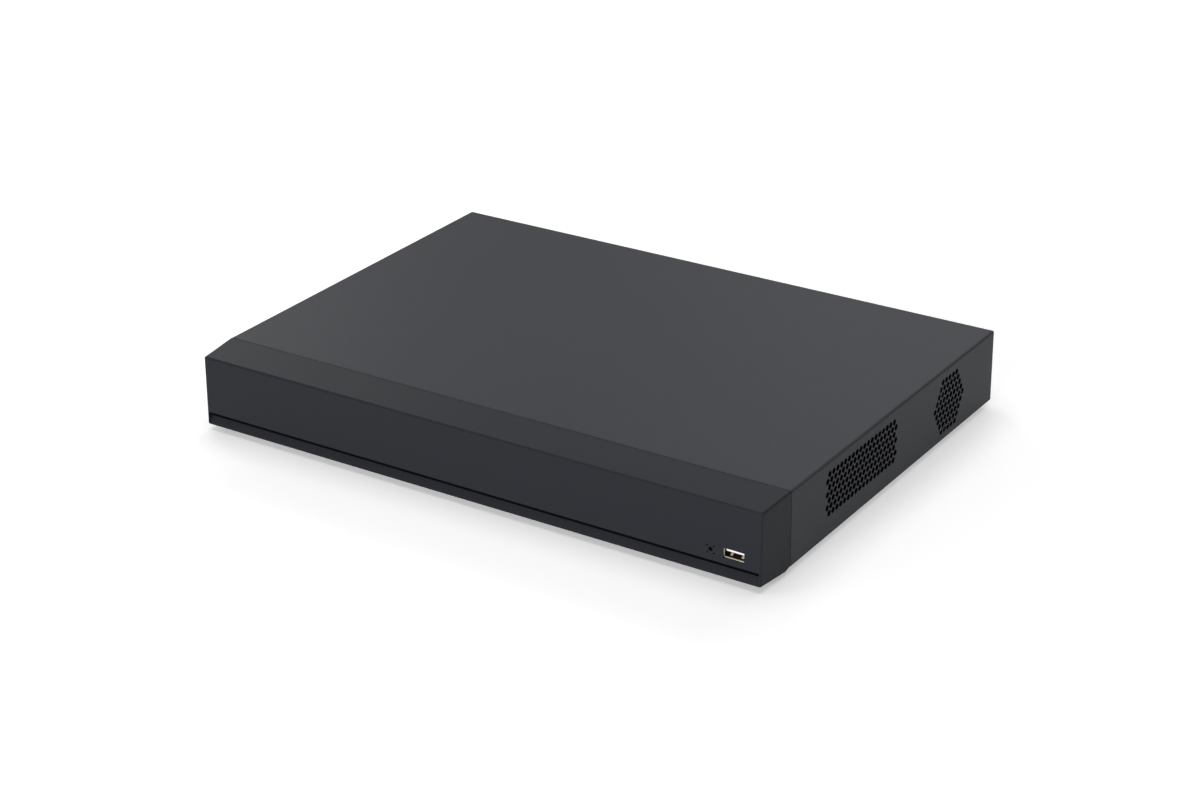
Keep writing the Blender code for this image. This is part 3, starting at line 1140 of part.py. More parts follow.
# ================================================================ leads inside the case
def leads():
    plug_front = DRIVE_REAR_Y - PLUG_DEPTH / 2
    plug_back = plug_front + PLUG_DEPTH
    block("drive_plug", (DRIVE_X - PLUG_WIDTH / 2, plug_front, PLUG_LOW),
          (DRIVE_X + PLUG_WIDTH / 2, plug_back, PLUG_LOW + PLUG_HEIGHT), BLACK_PLASTIC)
    drive_lead("drive_data_lead", DATA_LEAD_OFFSET, plug_back + GAP, DATA_LEAD_RADIUS, RED_CABLE)
    drive_lead("drive_power_lead", POWER_LEAD_OFFSET, plug_back + GAP, POWER_LEAD_RADIUS, GREY_CABLE)
    front_lead()
    fan_lead()
    clip_x, clip_y = SIDE - CABLE_CLIP_RIGHT, FRONT + CABLE_CLIP_BACK
    wide, deep, tall = CABLE_CLIP_SIZE
    clip = block("cable_clip", (clip_x - wide / 2, clip_y - deep / 2, FLOOR + GAP),
                 (clip_x + wide / 2, clip_y + deep / 2, FLOOR + GAP + tall), WHITE_PLASTIC)
    soften(clip, CABLE_CLIP_EDGE, 1)
    place = (clip_x, clip_y, FLOOR + CABLE_CLIP_HEIGHT)
    cut(clip, rod("clip_bore", place, CABLE_CLIP_BORE, 2 * THROUGH, "Y", 12))


def drive_lead(name, offset, start, radius, finish):
    """Lead that rises from the drive's plug and comes down on the main board's front edge."""
    x = DRIVE_X + offset
    low = PLUG_LOW + PLUG_HEIGHT / 2
    end_y = BOARD_FRONT + 9.1 * MM
    board = BOARD_TOP + 2 * GAP
    tube(name, [(x, start, low), (x, start + 3 * MM, low), (x, start + 7 * MM, low + 4 * MM),
                (x, start + 9 * MM, low + 10 * MM), (x, end_y - 5 * MM, low + 14 * MM),
                (x, end_y - 1 * MM, low + 10 * MM), (x, end_y, board + 3 * MM), (x, end_y, board)],
         radius, finish)


def front_lead():
    """From the front board, along the floor beside the bay, round the fan onto the main board."""
    x = SIDE - CABLE_CLIP_RIGHT
    low = FLOOR + CABLE_CLIP_HEIGHT
    hole_z = BASE + LEAD_WINDOW_HEIGHT + LEAD_WINDOW / 2 - LEAD_DROP
    hole_x = SIDE - LEAD_WINDOW_RIGHT
    fan_front = FAN_Y - FAN_SIZE / 2
    board_y = BOARD_FRONT + 7.8 * MM
    board_x = BOARD_RIGHT - 10.6 * MM
    board_z = BOARD_TOP + 2 * GAP
    tube("front_lead", [(hole_x, WALL_OUT - 9.8 * MM, hole_z), (hole_x, WALL_OUT - 5.8 * MM, hole_z),
                        (hole_x, WALL_IN + 1.2 * MM, hole_z - 0.5 * MM),
                        (hole_x + 0.7 * MM, WALL_IN + 13 * MM, low + 2 * MM),
                        (x - 3.8 * MM, WALL_IN + 25 * MM, low + 0.2 * MM),
                        (x - 1.8 * MM, WALL_IN + 51 * MM, low), (x - 0.5 * MM, WALL_IN + 81 * MM, low),
                        (x, FRONT + CABLE_CLIP_BACK, low),
                        (x - 1.3 * MM, fan_front - 28.7 * MM, low + 0.2 * MM),
                        (x - 9.3 * MM, fan_front - 10.7 * MM, low + 2.5 * MM),
                        (board_x + 6.0 * MM, fan_front + 0.3 * MM, low + 9.5 * MM),
                        (board_x + 1.5 * MM, board_y - 5 * MM, low + 11.5 * MM),
                        (board_x, board_y - 0.5 * MM, low + 7.5 * MM),
                        (board_x, board_y, board_z + 2 * MM), (board_x, board_y, board_z)],
         FRONT_LEAD_RADIUS, GREY_CABLE)


def fan_lead():
    """From the fan's frame down to the main board."""
    start_x, start_y = FAN_IN - FAN_LEAD_RADIUS / 2, FAN_Y - 12.7 * MM
    end_x, end_y = BOARD_RIGHT - 18.6 * MM, BOARD_FRONT + 18.3 * MM
    board_z = BOARD_TOP + 2 * GAP
    tube("fan_lead", [(start_x, start_y, FAN_Z + 5 * MM), (start_x - 4.9 * MM, start_y, FAN_Z + 5 * MM),
                      (start_x - 11.9 * MM, start_y + 3.5 * MM, FAN_Z + 3 * MM),
                      (end_x + 5 * MM, (start_y + end_y) / 2 + 2.5 * MM, FAN_Z - 1 * MM),
                      (end_x + 0.5 * MM, end_y - 1 * MM, board_z + 6 * MM),
                      (end_x, end_y, board_z + 2 * MM), (end_x, end_y, board_z)],
         FAN_LEAD_RADIUS, BLACK_PLASTIC)


# ================================================================ the whole object
chassis_tray()
rear = rear_panel()
top_cover()
front_bezel()
light_guide()
feet()
front_electronics()
main_board()
rear_sockets(rear)
rear_fasteners(rear)
fan()
hard_drive()
leads()
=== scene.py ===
"""Looks of the digital video recorder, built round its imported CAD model.

Every piece takes its place from a CAD node's box, so it follows the model.  Metres, +Z up,
the bezel faces -Y.  Each section makes one group of pieces; materials come first.
"""

import json
import math

import bmesh
import bpy
from mathutils import Matrix, Vector


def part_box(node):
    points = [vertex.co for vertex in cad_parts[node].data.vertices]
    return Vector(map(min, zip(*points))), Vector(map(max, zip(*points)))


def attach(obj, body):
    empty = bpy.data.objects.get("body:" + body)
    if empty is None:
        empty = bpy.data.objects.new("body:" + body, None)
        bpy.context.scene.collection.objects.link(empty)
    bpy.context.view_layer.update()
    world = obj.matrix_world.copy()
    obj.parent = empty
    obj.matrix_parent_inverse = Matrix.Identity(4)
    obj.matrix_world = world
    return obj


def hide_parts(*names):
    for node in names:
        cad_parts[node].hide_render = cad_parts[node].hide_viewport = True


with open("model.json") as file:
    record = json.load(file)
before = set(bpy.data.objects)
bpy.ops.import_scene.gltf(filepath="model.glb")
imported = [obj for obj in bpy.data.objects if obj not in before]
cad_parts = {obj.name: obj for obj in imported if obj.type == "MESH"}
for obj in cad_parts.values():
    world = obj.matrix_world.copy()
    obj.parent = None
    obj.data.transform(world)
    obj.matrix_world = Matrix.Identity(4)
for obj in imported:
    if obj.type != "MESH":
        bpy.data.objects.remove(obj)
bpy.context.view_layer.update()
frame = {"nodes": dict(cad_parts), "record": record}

MM = 0.001


def put_in_scene(made):
    bpy.context.scene.collection.objects.link(made)


# ==================== materials
def principled(name, colour, roughness, metallic=0.0, **sockets):
    """New material; further sockets are given by name with _ for a space."""
    made = bpy.data.materials.new(name)
    made.use_nodes = True
    shader = made.node_tree.nodes["Principled BSDF"]
    shader.inputs["Base Color"].default_value = (*colour, 1.0)
    shader.inputs["Roughness"].default_value = roughness
    shader.inputs["Metallic"].default_value = metallic
    for socket, value in sockets.items():
        shader.inputs[socket.replace("_", " ")].default_value = value
    return made


def noise(made, scale, detail=2.0, stretch=(1.0, 1.0, 1.0)):
    """Noise over the object's own coordinates; returns its value output."""
    tree = made.node_tree
    place = tree.nodes.new("ShaderNodeTexCoord")
    scaled = tree.nodes.new("ShaderNodeMapping")
    scaled.inputs["Scale"].default_value = stretch
    grain = tree.nodes.new("ShaderNodeTexNoise")
    grain.inputs["Scale"].default_value = scale
    grain.inputs["Detail"].default_value = detail
    tree.links.new(place.outputs["Object"], scaled.inputs["Vector"])
    tree.links.new(scaled.outputs["Vector"], grain.inputs["Vector"])
    return grain.outputs["Fac"]


def vary_colour(made, value, low, high):
    """Blend the base colour between two colours by a value output."""
    tree = made.node_tree
    mix = tree.nodes.new("ShaderNodeMix")
    mix.data_type = "RGBA"
    mix.inputs["A"].default_value = (*low, 1.0)
    mix.inputs["B"].default_value = (*high, 1.0)
    tree.links.new(value, mix.inputs["Factor"])
    tree.links.new(mix.outputs["Result"], tree.nodes["Principled BSDF"].inputs["Base Color"])


def vary_roughness(made, value, low, high):
    tree = made.node_tree
    spread = tree.nodes.new("ShaderNodeMapRange")
    spread.inputs["From Min"].default_value = 0.3
    spread.inputs["From Max"].default_value = 0.7
    spread.inputs["To Min"].default_value = low
    spread.inputs["To Max"].default_value = high
    tree.links.new(value, spread.inputs["Value"])
    tree.links.new(spread.outputs["Result"], tree.nodes["Principled BSDF"].inputs["Roughness"])


def add_bump(made, value, strength, depth):
    tree = made.node_tree
    bump = tree.nodes.new("ShaderNodeBump")
    bump.inputs["Strength"].default_value = strength
    bump.inputs["Distance"].default_value = depth
    tree.links.new(value, bump.inputs["Height"])
    tree.links.new(bump.outputs["Normal"], tree.nodes["Principled BSDF"].inputs["Normal"])


def shade(colour, factor):
    return tuple(channel * factor for channel in colour)


def grained(name, colour, roughness, metallic=0.0, grain=2500.0, contrast=0.12, strength=0.25,
            depth=0.03 * MM, stretch=(1.0, 1.0, 1.0), **sockets):
    """Material with a fine surface grain in colour, roughness and relief."""
    made = principled(name, colour, roughness, metallic, **sockets)
    value = noise(made, grain, 3.0, stretch)
    vary_colour(made, value, shade(colour, 1.0 - contrast), shade(colour, 1.0 + contrast))
    vary_roughness(made, value, roughness - 0.05, roughness + 0.05)
    add_bump(made, value, strength, depth)
    return made


COOL_SHEEN = (0.86, 0.91, 1.0, 1.0)
# Near-black material for the vent holes' walls: painted shade inside the holes.
VENT_HOLE_SHADE = grained("painted_vent_shade", (0.0030, 0.0032, 0.0036), 0.70, grain=1900.0, Specular_IOR_Level=0.08)
POWDER = grained("powder_coat", (0.0180, 0.0190, 0.0238), 0.52, grain=1900.0, contrast=0.18, strength=0.30,
                 Specular_IOR_Level=0.22, Specular_Tint=COOL_SHEEN)
BEZEL = grained("bezel_plastic", (0.0165, 0.0175, 0.0215), 0.50, grain=3200.0, contrast=0.10, strength=0.22,
                Specular_IOR_Level=0.12, Specular_Tint=COOL_SHEEN)
ZINC = grained("zinc_sheet", (0.50, 0.51, 0.52), 0.38, 0.85, grain=260.0, contrast=0.10, strength=0.05,
               stretch=(1.0, 0.15, 1.0))
RUBBER = grained("rubber", (0.016, 0.016, 0.017), 0.80, grain=1500.0)
NICKEL = grained("nickel", (0.62, 0.60, 0.56), 0.24, 1.0, grain=900.0, contrast=0.05, strength=0.06)
BLACK_ZINC = grained("black_zinc", (0.030, 0.030, 0.033), 0.36, 0.7, grain=1200.0)
TIN = grained("tin_shell", (0.70, 0.70, 0.69), 0.26, 1.0, grain=1400.0, contrast=0.05, strength=0.08)
WHITE = grained("white_nylon", (0.80, 0.80, 0.77), 0.40, grain=1800.0, contrast=0.03, strength=0.08)
BLACK = grained("black_plastic", (0.020, 0.020, 0.022), 0.42, grain=2600.0)
BOARD = grained("solder_mask", (0.012, 0.085, 0.036), 0.34, grain=700.0, contrast=0.14, strength=0.10)
BLUE = grained("blue_plastic", (0.025, 0.070, 0.36), 0.42, grain=2200.0)
GREEN = grained("green_plastic", (0.025, 0.26, 0.075), 0.42, grain=2200.0)
CAST = grained("cast_aluminium", (0.50, 0.51, 0.52), 0.46, 0.9, grain=1300.0, contrast=0.10, strength=0.30)
MIRROR = grained("platter", (0.80, 0.80, 0.82), 0.07, 1.0, grain=900.0, contrast=0.01, strength=0.01)
CHIP = grained("chip", (0.018, 0.018, 0.019), 0.55, grain=2400.0)
SINK = grained("anodised", (0.028, 0.028, 0.031), 0.42, 0.6, grain=1800.0)
GUIDE = grained("light_guide", (0.06, 0.07, 0.09), 0.18, grain=1200.0, contrast=0.06, strength=0.03,
                Transmission_Weight=0.35)
RED = grained("red_jacket", (0.36, 0.018, 0.018), 0.48, grain=1400.0)
GREY = grained("grey_jacket", (0.17, 0.17, 0.18), 0.52, grain=1400.0)
GILT = grained("gilt", (0.72, 0.50, 0.20), 0.26, 1.0, grain=1500.0, contrast=0.05, strength=0.05)
COPPER = grained("enamelled_copper", (0.58, 0.24, 0.10), 0.30, 0.9, grain=1500.0, contrast=0.08,
                 strength=0.05)
PTFE = grained("insulator", (0.82, 0.82, 0.79), 0.45, grain=1600.0, contrast=0.03, strength=0.06)
BRUSHED = grained("brushed_lid", (0.58, 0.58, 0.58), 0.34, 1.0, grain=900.0, contrast=0.10, strength=0.10,
                  stretch=(0.04, 1.0, 1.0))
PAPER = grained("blank_label", (0.78, 0.78, 0.75), 0.70, grain=1500.0, contrast=0.03, strength=0.06)
LENS_LOOK = {"grain": 1500.0, "contrast": 0.05, "strength": 0.03, "Transmission_Weight": 0.3}
GREEN_LAMP = grained("green_lamp", (0.10, 0.42, 0.12), 0.22, **LENS_LOOK)
AMBER = grained("amber_lamp", (0.60, 0.34, 0.05), 0.22, **LENS_LOOK)
IVORY = grained("ivory_plastic", (0.88, 0.88, 0.90), 0.35, grain=1800.0, contrast=0.03, strength=0.05)
# Pale warm copy of tin: painted highlight on the front socket's lips and springs.
PAINTED_HIGHLIGHT_TIN = grained("painted_highlight_tin", (0.86, 0.76, 0.62), 0.34, 0.35, grain=1500.0, contrast=0.06, strength=0.05)
# Dark brown copy of tin: painted shade inside the front socket's shell.
PAINTED_SHADE_TIN = grained("shaded_tin", (0.16, 0.10, 0.06), 0.40, 0.8, grain=1500.0, contrast=0.10, strength=0.05)

SLOT_MATERIALS = {
    "powder_steel": POWDER, "bezel_plastic": BEZEL, "zinc_steel": ZINC, "rubber": RUBBER,
    "black_screw": BLACK_ZINC, "nickel": NICKEL, "tin_shell": TIN, "white_plastic": WHITE,
    "black_plastic": BLACK, "circuit_board": BOARD, "blue_plastic": BLUE, "green_plastic": GREEN,
    "cast_aluminium": CAST, "platter": MIRROR, "chip": CHIP, "sink": SINK, "light_guide": GUIDE,
    "red_cable": RED, "grey_cable": GREY,
}


SMOOTH_ANGLE = 35.0              # degrees; sharper edges stay sharp
JUST_OVER_SHEET = 1.1 * MM       # holes' walls lie this close to a side's face
SIDE_RIM = 2.0 * MM              # the painted shade keeps clear of the cover's edges within this
REAR_RIM = 4.0 * MM


def dress_cad_nodes():
    """Give every CAD node that stays in view its finished material and smooth shading."""
    for part in frame["record"]["subparts"]:
        node = frame["nodes"][part["node"]]
        node.data.materials.clear()
        node.data.materials.append(SLOT_MATERIALS[part["material_slot"]])
        node.data.shade_smooth()
        node.data.set_sharp_from_angle(angle=math.radians(SMOOTH_ANGLE))


def paint_vent_hole_shade():
    """Paint shade on the walls of the cover's punched vent holes: they take a near-black material."""
    cover = frame["nodes"]["top_cover"].data
    cover.materials.append(VENT_HOLE_SHADE)
    low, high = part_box("top_cover")
    sheet = JUST_OVER_SHEET
    for face in cover.polygons:
        middle = face.center
        in_side = min(middle.x - low[0], high[0] - middle.x) < sheet
        clear_of_rims = SIDE_RIM < middle.z - low[2] < high[2] - low[2] - SIDE_RIM
        clear_of_ends = low[1] + sheet < middle.y < high[1] - REAR_RIM
        if in_side and clear_of_rims and clear_of_ends and abs(face.normal.x) < 0.5:
            face.material_index = 1


dress_cad_nodes()
# The front socket's shell takes the dark brown copy of tin: painted shade inside its mouth.
frame["nodes"]["front_usb_shell"].data.materials[0] = PAINTED_SHADE_TIN
paint_vent_hole_shade()


# ==================== shape helpers
AIM = {
    "X": Matrix.Rotation(math.radians(90), 4, "Y"),
    "-X": Matrix.Rotation(math.radians(-90), 4, "Y"),
    "Y": Matrix.Rotation(math.radians(-90), 4, "X"),
    "Z": Matrix.Identity(4),
    "-Z": Matrix.Rotation(math.radians(180), 4, "X"),
}


def add_box(shape, low, high):
    low, high = Vector(low), Vector(high)
    place = Matrix.Translation((low + high) / 2) @ Matrix.Diagonal((*(high - low), 1.0))
    return bmesh.ops.create_cube(shape, size=1.0, matrix=place)["verts"]


def add_block(shape, foot, wide, deep, tall):
    """Box that stands on a point; its sizes are in millimetres."""
    x, y, z = foot
    half_wide, half_deep = wide / 2 * MM, deep / 2 * MM
    return add_box(shape, (x - half_wide, y - half_deep, z), (x + half_wide, y + half_deep, z + tall * MM))


def add_rod(shape, centre, radius, length, axis="Z", sides=24):
    bmesh.ops.create_cone(shape, cap_ends=True, segments=sides, radius1=radius, radius2=radius,
                          depth=length, matrix=Matrix.Translation(centre) @ AIM[axis])


def add_turned(shape, profile, place, axis="Z", steps=32):
    """Spin (radius, height) points, listed along the outline, about an axis through a place."""
    turn = Matrix.Translation(place) @ AIM[axis]
    rings = []
    for radius, height in profile:
        angles = [2 * math.pi * step / steps for step in range(steps if radius else 1)]
        rings.append([shape.verts.new(turn @ Vector((radius * math.cos(a), radius * math.sin(a), height)))
                      for a in angles])
    for ring, following in zip(rings, rings[1:]):
        for step in range(steps):
            after = (step + 1) % steps
            corners = [ring[step % len(ring)], following[step % len(following)],
                       following[after % len(following)], ring[after % len(ring)]]
            corners = list(dict.fromkeys(corners))
            if len(corners) > 2:
                shape.faces.new(corners)


def add_loft(shape, rings, closed_ends=True):
    """Skin over rings of points, each with the same count."""
    loops = [[shape.verts.new(point) for point in ring] for ring in rings]
    for ring, following in zip(loops, loops[1:]):
        for index in range(len(ring)):
            after = (index + 1) % len(ring)
            shape.faces.new((ring[index], ring[after], following[after], following[index]))
    if closed_ends:
        shape.faces.new(loops[0])
        shape.faces.new(list(reversed(loops[-1])))


def add_strip(shape, path, width, thickness, across=(1.0, 0.0, 0.0)):
    """Flat strip along a path; it is width wide along across."""
    side = Vector(across) * width / 2
    path = [Vector(point) for point in path]
    rings = []
    for index, point in enumerate(path):
        ahead = path[min(index + 1, len(path) - 1)] - path[max(index - 1, 0)]
        lift = ahead.cross(Vector(across)).normalized() * thickness / 2
        rings.append([point - side - lift, point + side - lift, point + side + lift, point - side + lift])
    add_loft(shape, rings)


def soften(shape, width, segments=2):
    """Round every edge that turns more than 40 degrees."""
    bmesh.ops.recalc_face_normals(shape, faces=shape.faces)
    sharp = [edge for edge in shape.edges if edge.is_manifold and edge.calc_face_angle() > math.radians(40)]
    bmesh.ops.bevel(shape, geom=sharp, offset=width, segments=segments, profile=0.5, affect="EDGES",
                    clamp_overlap=True)


def scratch(shape):
    mesh = bpy.data.meshes.new("scratch")
    bmesh.ops.recalc_face_normals(shape, faces=shape.faces)
    shape.to_mesh(mesh)
    shape.free()
    made = bpy.data.objects.new("scratch", mesh)
    put_in_scene(made)
    return made


def carved(shape, cutter):
    """The first solid with the second cut out of it."""
    solid, tool = scratch(shape), scratch(cutter)
    change = solid.modifiers.new("cut", "BOOLEAN")
    change.operation = "DIFFERENCE"
    change.object = tool
    seen = solid.evaluated_get(bpy.context.evaluated_depsgraph_get())
    result = bmesh.new()
    result.from_mesh(seen.to_mesh())
    seen.to_mesh_clear()
    for used in (solid, tool):
        bpy.data.objects.remove(used, do_unlink=True)
    return result


def finished(name, shape, slot, body="case", material=None, stands_for=(), edge=0.0, sharp=SMOOTH_ANGLE):
    """Turn a bmesh into a piece that rides on a body and may stand for CAD nodes."""
    if edge:
        soften(shape, edge)
    bmesh.ops.recalc_face_normals(shape, faces=shape.faces)
    mesh = bpy.data.meshes.new(name)
    shape.to_mesh(mesh)
    shape.free()
    mesh.materials.append(material or SLOT_MATERIALS[slot])
    mesh.shade_smooth()
    mesh.set_sharp_from_angle(angle=math.radians(sharp))
    piece = bpy.data.objects.new(name, mesh)
    put_in_scene(piece)
    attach(piece, body)
    if stands_for:
        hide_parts(*stands_for)
    return piece


def outline_from(plane, *points):
    """Profile for add_turned: radii, and heights from a plane, both given in millimetres."""
    return [(radius * MM, plane + height * MM) for radius, height in points]


def centre_of(node):
    low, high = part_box(node)
    return (Vector(low) + Vector(high)) / 2


def corners_of(node):
    low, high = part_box(node)
    return Vector(low), Vector(high)


# ==================== screws and feet
HEAD_RADIUS = 2.9 * MM
HEAD_HEIGHT = 1.6 * MM
SHANK_RADIUS = 1.5 * MM
THREAD_PITCH = 0.7 * MM
THREAD_START = 0.2 * MM       # plain shank under the head
THREAD_ROOT = SHANK_RADIUS * 0.84
TIP_RADIUS = SHANK_RADIUS * 0.7
CROSS_ARM = 0.62 * MM
CROSS_REACH = 1.7 * MM
CROSS_DEPTH = 1.1 * MM
CROSS_TURN = 0.4              # radians
DOME = ((0.0, 1.0), (0.45, 0.97), (0.8, 0.8), (0.97, 0.45), (1.0, 0.15), (0.97, 0.0))  # shares of the head


def screw_piece(node, axis, slot):
    """Domed head with a cross recess over a threaded shank, in the place of a CAD screw."""
    low, high = corners_of(node)
    middle = (low + high) / 2
    along = {"Y": 1, "-Z": 2}[axis]
    outward = -1.0 if axis.startswith("-") else 1.0
    seat = middle.copy()
    seat[along] = (high[along] if outward > 0 else low[along]) - outward * HEAD_HEIGHT
    length = (high - low)[along] - HEAD_HEIGHT
    dome = [(HEAD_RADIUS * across, HEAD_HEIGHT * up) for across, up in DOME] + [(SHANK_RADIUS, 0.0)]
    turns = int(length / THREAD_PITCH) - 1
    for turn in range(turns):
        top = -turn * THREAD_PITCH - THREAD_START
        dome += [(THREAD_ROOT, top - THREAD_PITCH / 2), (SHANK_RADIUS, top - THREAD_PITCH)]
    dome += [(TIP_RADIUS, -length), (0.0, -length)]
    head = bmesh.new()
    add_turned(head, dome, seat, axis, 28)
    turn = Matrix.Translation(seat) @ AIM[axis]
    corners = ((CROSS_REACH, -CROSS_ARM / 2), (CROSS_REACH, CROSS_ARM / 2), (CROSS_ARM / 2, CROSS_ARM / 2))
    outline = [Matrix.Rotation(CROSS_TURN + quarter * math.pi / 2, 3, "Z") @ Vector((x, y, 0.0))
               for quarter in range(4) for x, y in corners]
    cross = bmesh.new()
    add_loft(cross, [[turn @ (point + Vector((0.0, 0.0, height))) for point in outline]
                     for height in (HEAD_HEIGHT - CROSS_DEPTH, HEAD_HEIGHT * 2)])
    finished(node + "_threaded", carved(head, cross), slot, stands_for=[node])


def foot_piece(node):
    """Rubber foot: rounded lower rim, a step under the tray and a recess round its centre pin."""
    low, high = corners_of(node)
    centre = ((low.x + high.x) / 2, (low.y + high.y) / 2, low.z)
    radius, height = (high.x - low.x) / 2, high.z - low.z
    rim = 0.8 * MM
    profile = [(0.0, height), (radius * 0.94, height), (radius, height - 0.3 * MM), (radius, rim)]
    profile += [(radius - rim * (1 - math.cos(a)), rim * (1 - math.sin(a)))
                for a in (math.radians(30), math.radians(60), math.radians(90))]
    profile += [(radius * 0.62, 0.0), (radius * 0.58, 0.5 * MM), (radius * 0.5, 1.3 * MM),
                (radius * 0.26, 1.3 * MM), (radius * 0.22, 0.9 * MM), (0.0, 0.9 * MM)]
    shape = bmesh.new()
    add_turned(shape, profile, centre, "Z", 48)
    finished(node + "_moulding", shape, "rubber", stands_for=[node])


def fasteners_and_feet():
    for side in ("left", "right"):
        screw_piece(f"cover_screw_{side}", "Y", "black_screw")
        for end in ("front", "rear"):
            foot_piece(f"foot_{end}_{side}")
    screw_piece("ground_screw", "Y", "nickel")
    for number in range(1, 5):
        screw_piece(f"drive_screw_{number}", "-Z", "nickel")
    low, high = corners_of("ground_screw")
    washer = bmesh.new()
    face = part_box("rear_panel")[1][1]
    middle = ((low.x + high.x) / 2, face, (low.z + high.z) / 2)
    add_turned(washer, outline_from(0.0, (1.7, 0.28), (4.2, 0.28), (4.2, 0.02), (1.7, 0.02), (1.7, 0.28)),
               middle, "Y", 40)
    finished("ground_washer", washer, "nickel")


# ==================== universal serial sockets
CONTACTS = 4
CONTACT_SPAN = 7.0 * MM       # between the outer contacts' centres
SHELL_WALL = 0.3 * MM
SPRING_OFFSET = 3.35 * MM     # from the socket's middle
# Millimetres behind the mouth and above the shell's floor.
SPRING_PATH = ((2.2, 0.15), (2.7, 0.7), (3.3, 1.05), (4.2, 0.9), (7.0, 0.1))


def usb_details(prefix, outward, spring_metal, contact_width=1.1 * MM):
    """Gilt contacts under the tongue, spring tabs on the shell's floor and a rolled shell mouth."""
    shell_low, shell_high = corners_of(f"{prefix}_shell")
    tongue_low, tongue_high = corners_of(f"{prefix}_tongue")
    mouth = shell_high.y if outward > 0 else shell_low.y
    nose = tongue_high.y if outward > 0 else tongue_low.y
    deep = tongue_low.y if outward > 0 else tongue_high.y
    middle = (shell_low.x + shell_high.x) / 2
    contacts = bmesh.new()
    for index in range(CONTACTS):
        x = middle + (index / (CONTACTS - 1) - 0.5) * CONTACT_SPAN
        under = tongue_low.z - 0.06 * MM
        add_strip(contacts, [(x, nose - outward * 1.2 * MM, under),
                             (x, nose - outward * 3.0 * MM, under - 0.12 * MM),
                             (x, nose - outward * 5.5 * MM, under), (x, deep, under)],
                  contact_width, 0.14 * MM)
    finished(f"{prefix}_contacts", contacts, "nickel", material=GILT)
    springs = bmesh.new()
    floor = shell_low.z + SHELL_WALL
    for x in (middle - SPRING_OFFSET, middle + SPRING_OFFSET):
        add_strip(springs, [(x, mouth - outward * back * MM, floor + up * MM) for back, up in SPRING_PATH],
                  1.3 * MM, 0.2 * MM)
    finished(f"{prefix}_springs", springs, "tin_shell", material=spring_metal)
    rim = bmesh.new()
    wall = SHELL_WALL
    back = 0.35 * MM
    outer = [(shell_low.x, shell_low.z), (shell_high.x, shell_low.z), (shell_high.x, shell_high.z),
             (shell_low.x, shell_high.z)]
    inner = [(x + math.copysign(wall + 0.06 * MM, middle - x),
              z + math.copysign(wall + 0.06 * MM, (shell_low.z + shell_high.z) / 2 - z)) for x, z in outer]
    rings = [[(x, mouth + outward * reach, z) for x, z in points]
             for points, reach in ((inner, -back), (inner, 0.05 * MM), (outer, 0.05 * MM), (outer, -back))]
    add_loft(rim, rings + [rings[0]], closed_ends=False)
    bmesh.ops.remove_doubles(rim, verts=rim.verts, dist=0.001 * MM)
    finished(f"{prefix}_rim", rim, "tin_shell")


def front_usb_mouth():
    """Rolled lips of the front socket's shell, and its tongue with a bevelled lower front edge."""
    low, high = corners_of("front_usb_shell")
    wall = SHELL_WALL
    flare = 0.6 * MM              # the lips run this far in front of the shell
    lips = bmesh.new()
    sill = low.z + wall
    add_strip(lips, [(0.0, low.y + 0.1 * MM, sill + 0.02 * MM), (0.0, low.y - 0.2 * MM, sill - 0.03 * MM),
                     (0.0, low.y - flare, sill - 0.1 * MM)], 12.0 * MM, 0.3 * MM)
    bmesh.ops.translate(lips, verts=lips.verts, vec=((low.x + high.x) / 2, 0.0, 0.0))
    cheek = low.x + wall
    middle_z = (low.z + high.z) / 2
    add_strip(lips, [(cheek + 0.02 * MM, low.y + 0.1 * MM, middle_z),
                     (cheek - 0.03 * MM, low.y - 0.2 * MM, middle_z),
                     (cheek - 0.1 * MM, low.y - flare, middle_z)], 4.7 * MM, 0.26 * MM, (0.0, 0.0, 1.0))
    # The lips take the pale copy of tin: painted highlight.
    finished("front_usb_lips", lips, "tin_shell", material=PAINTED_HIGHLIGHT_TIN, edge=0.08 * MM)

    low, high = corners_of("front_usb_tongue")
    bevel = 0.62 * MM
    side_view = [(low.y + 0.15 * MM, high.z), (low.y, high.z - 0.15 * MM), (low.y, low.z + bevel),
                 (low.y + bevel, low.z), (high.y, low.z), (high.y, high.z)]
    tongue = bmesh.new()
    add_loft(tongue, [[(x, y, z) for y, z in side_view] for x in (low.x, high.x)])
    finished("front_usb_bevelled_tongue", tongue, "white_plastic", material=IVORY,
             stands_for=["front_usb_tongue"], edge=0.06 * MM)


# ==================== camera sockets
BARREL_RADIUS = 4.8 * MM
BORE_RADIUS = 4.05 * MM
BORE_DEPTH = 8.0 * MM
BUSH_RADIUS = 6.0 * MM
LOWER_AXIS = 7.3 * MM         # above the module's underside
UPPER_AXIS = 7.0 * MM         # below the module's top
LUG_RADIUS = 0.9 * MM
LUG_REACH = 5.75 * MM         # from the barrel's axis
LUG_BACK = 3.4 * MM           # behind the barrel's mouth
GROOVES = 3
GROOVE_PITCH = 1.1 * MM
GROOVE_DEPTH = 0.22 * MM


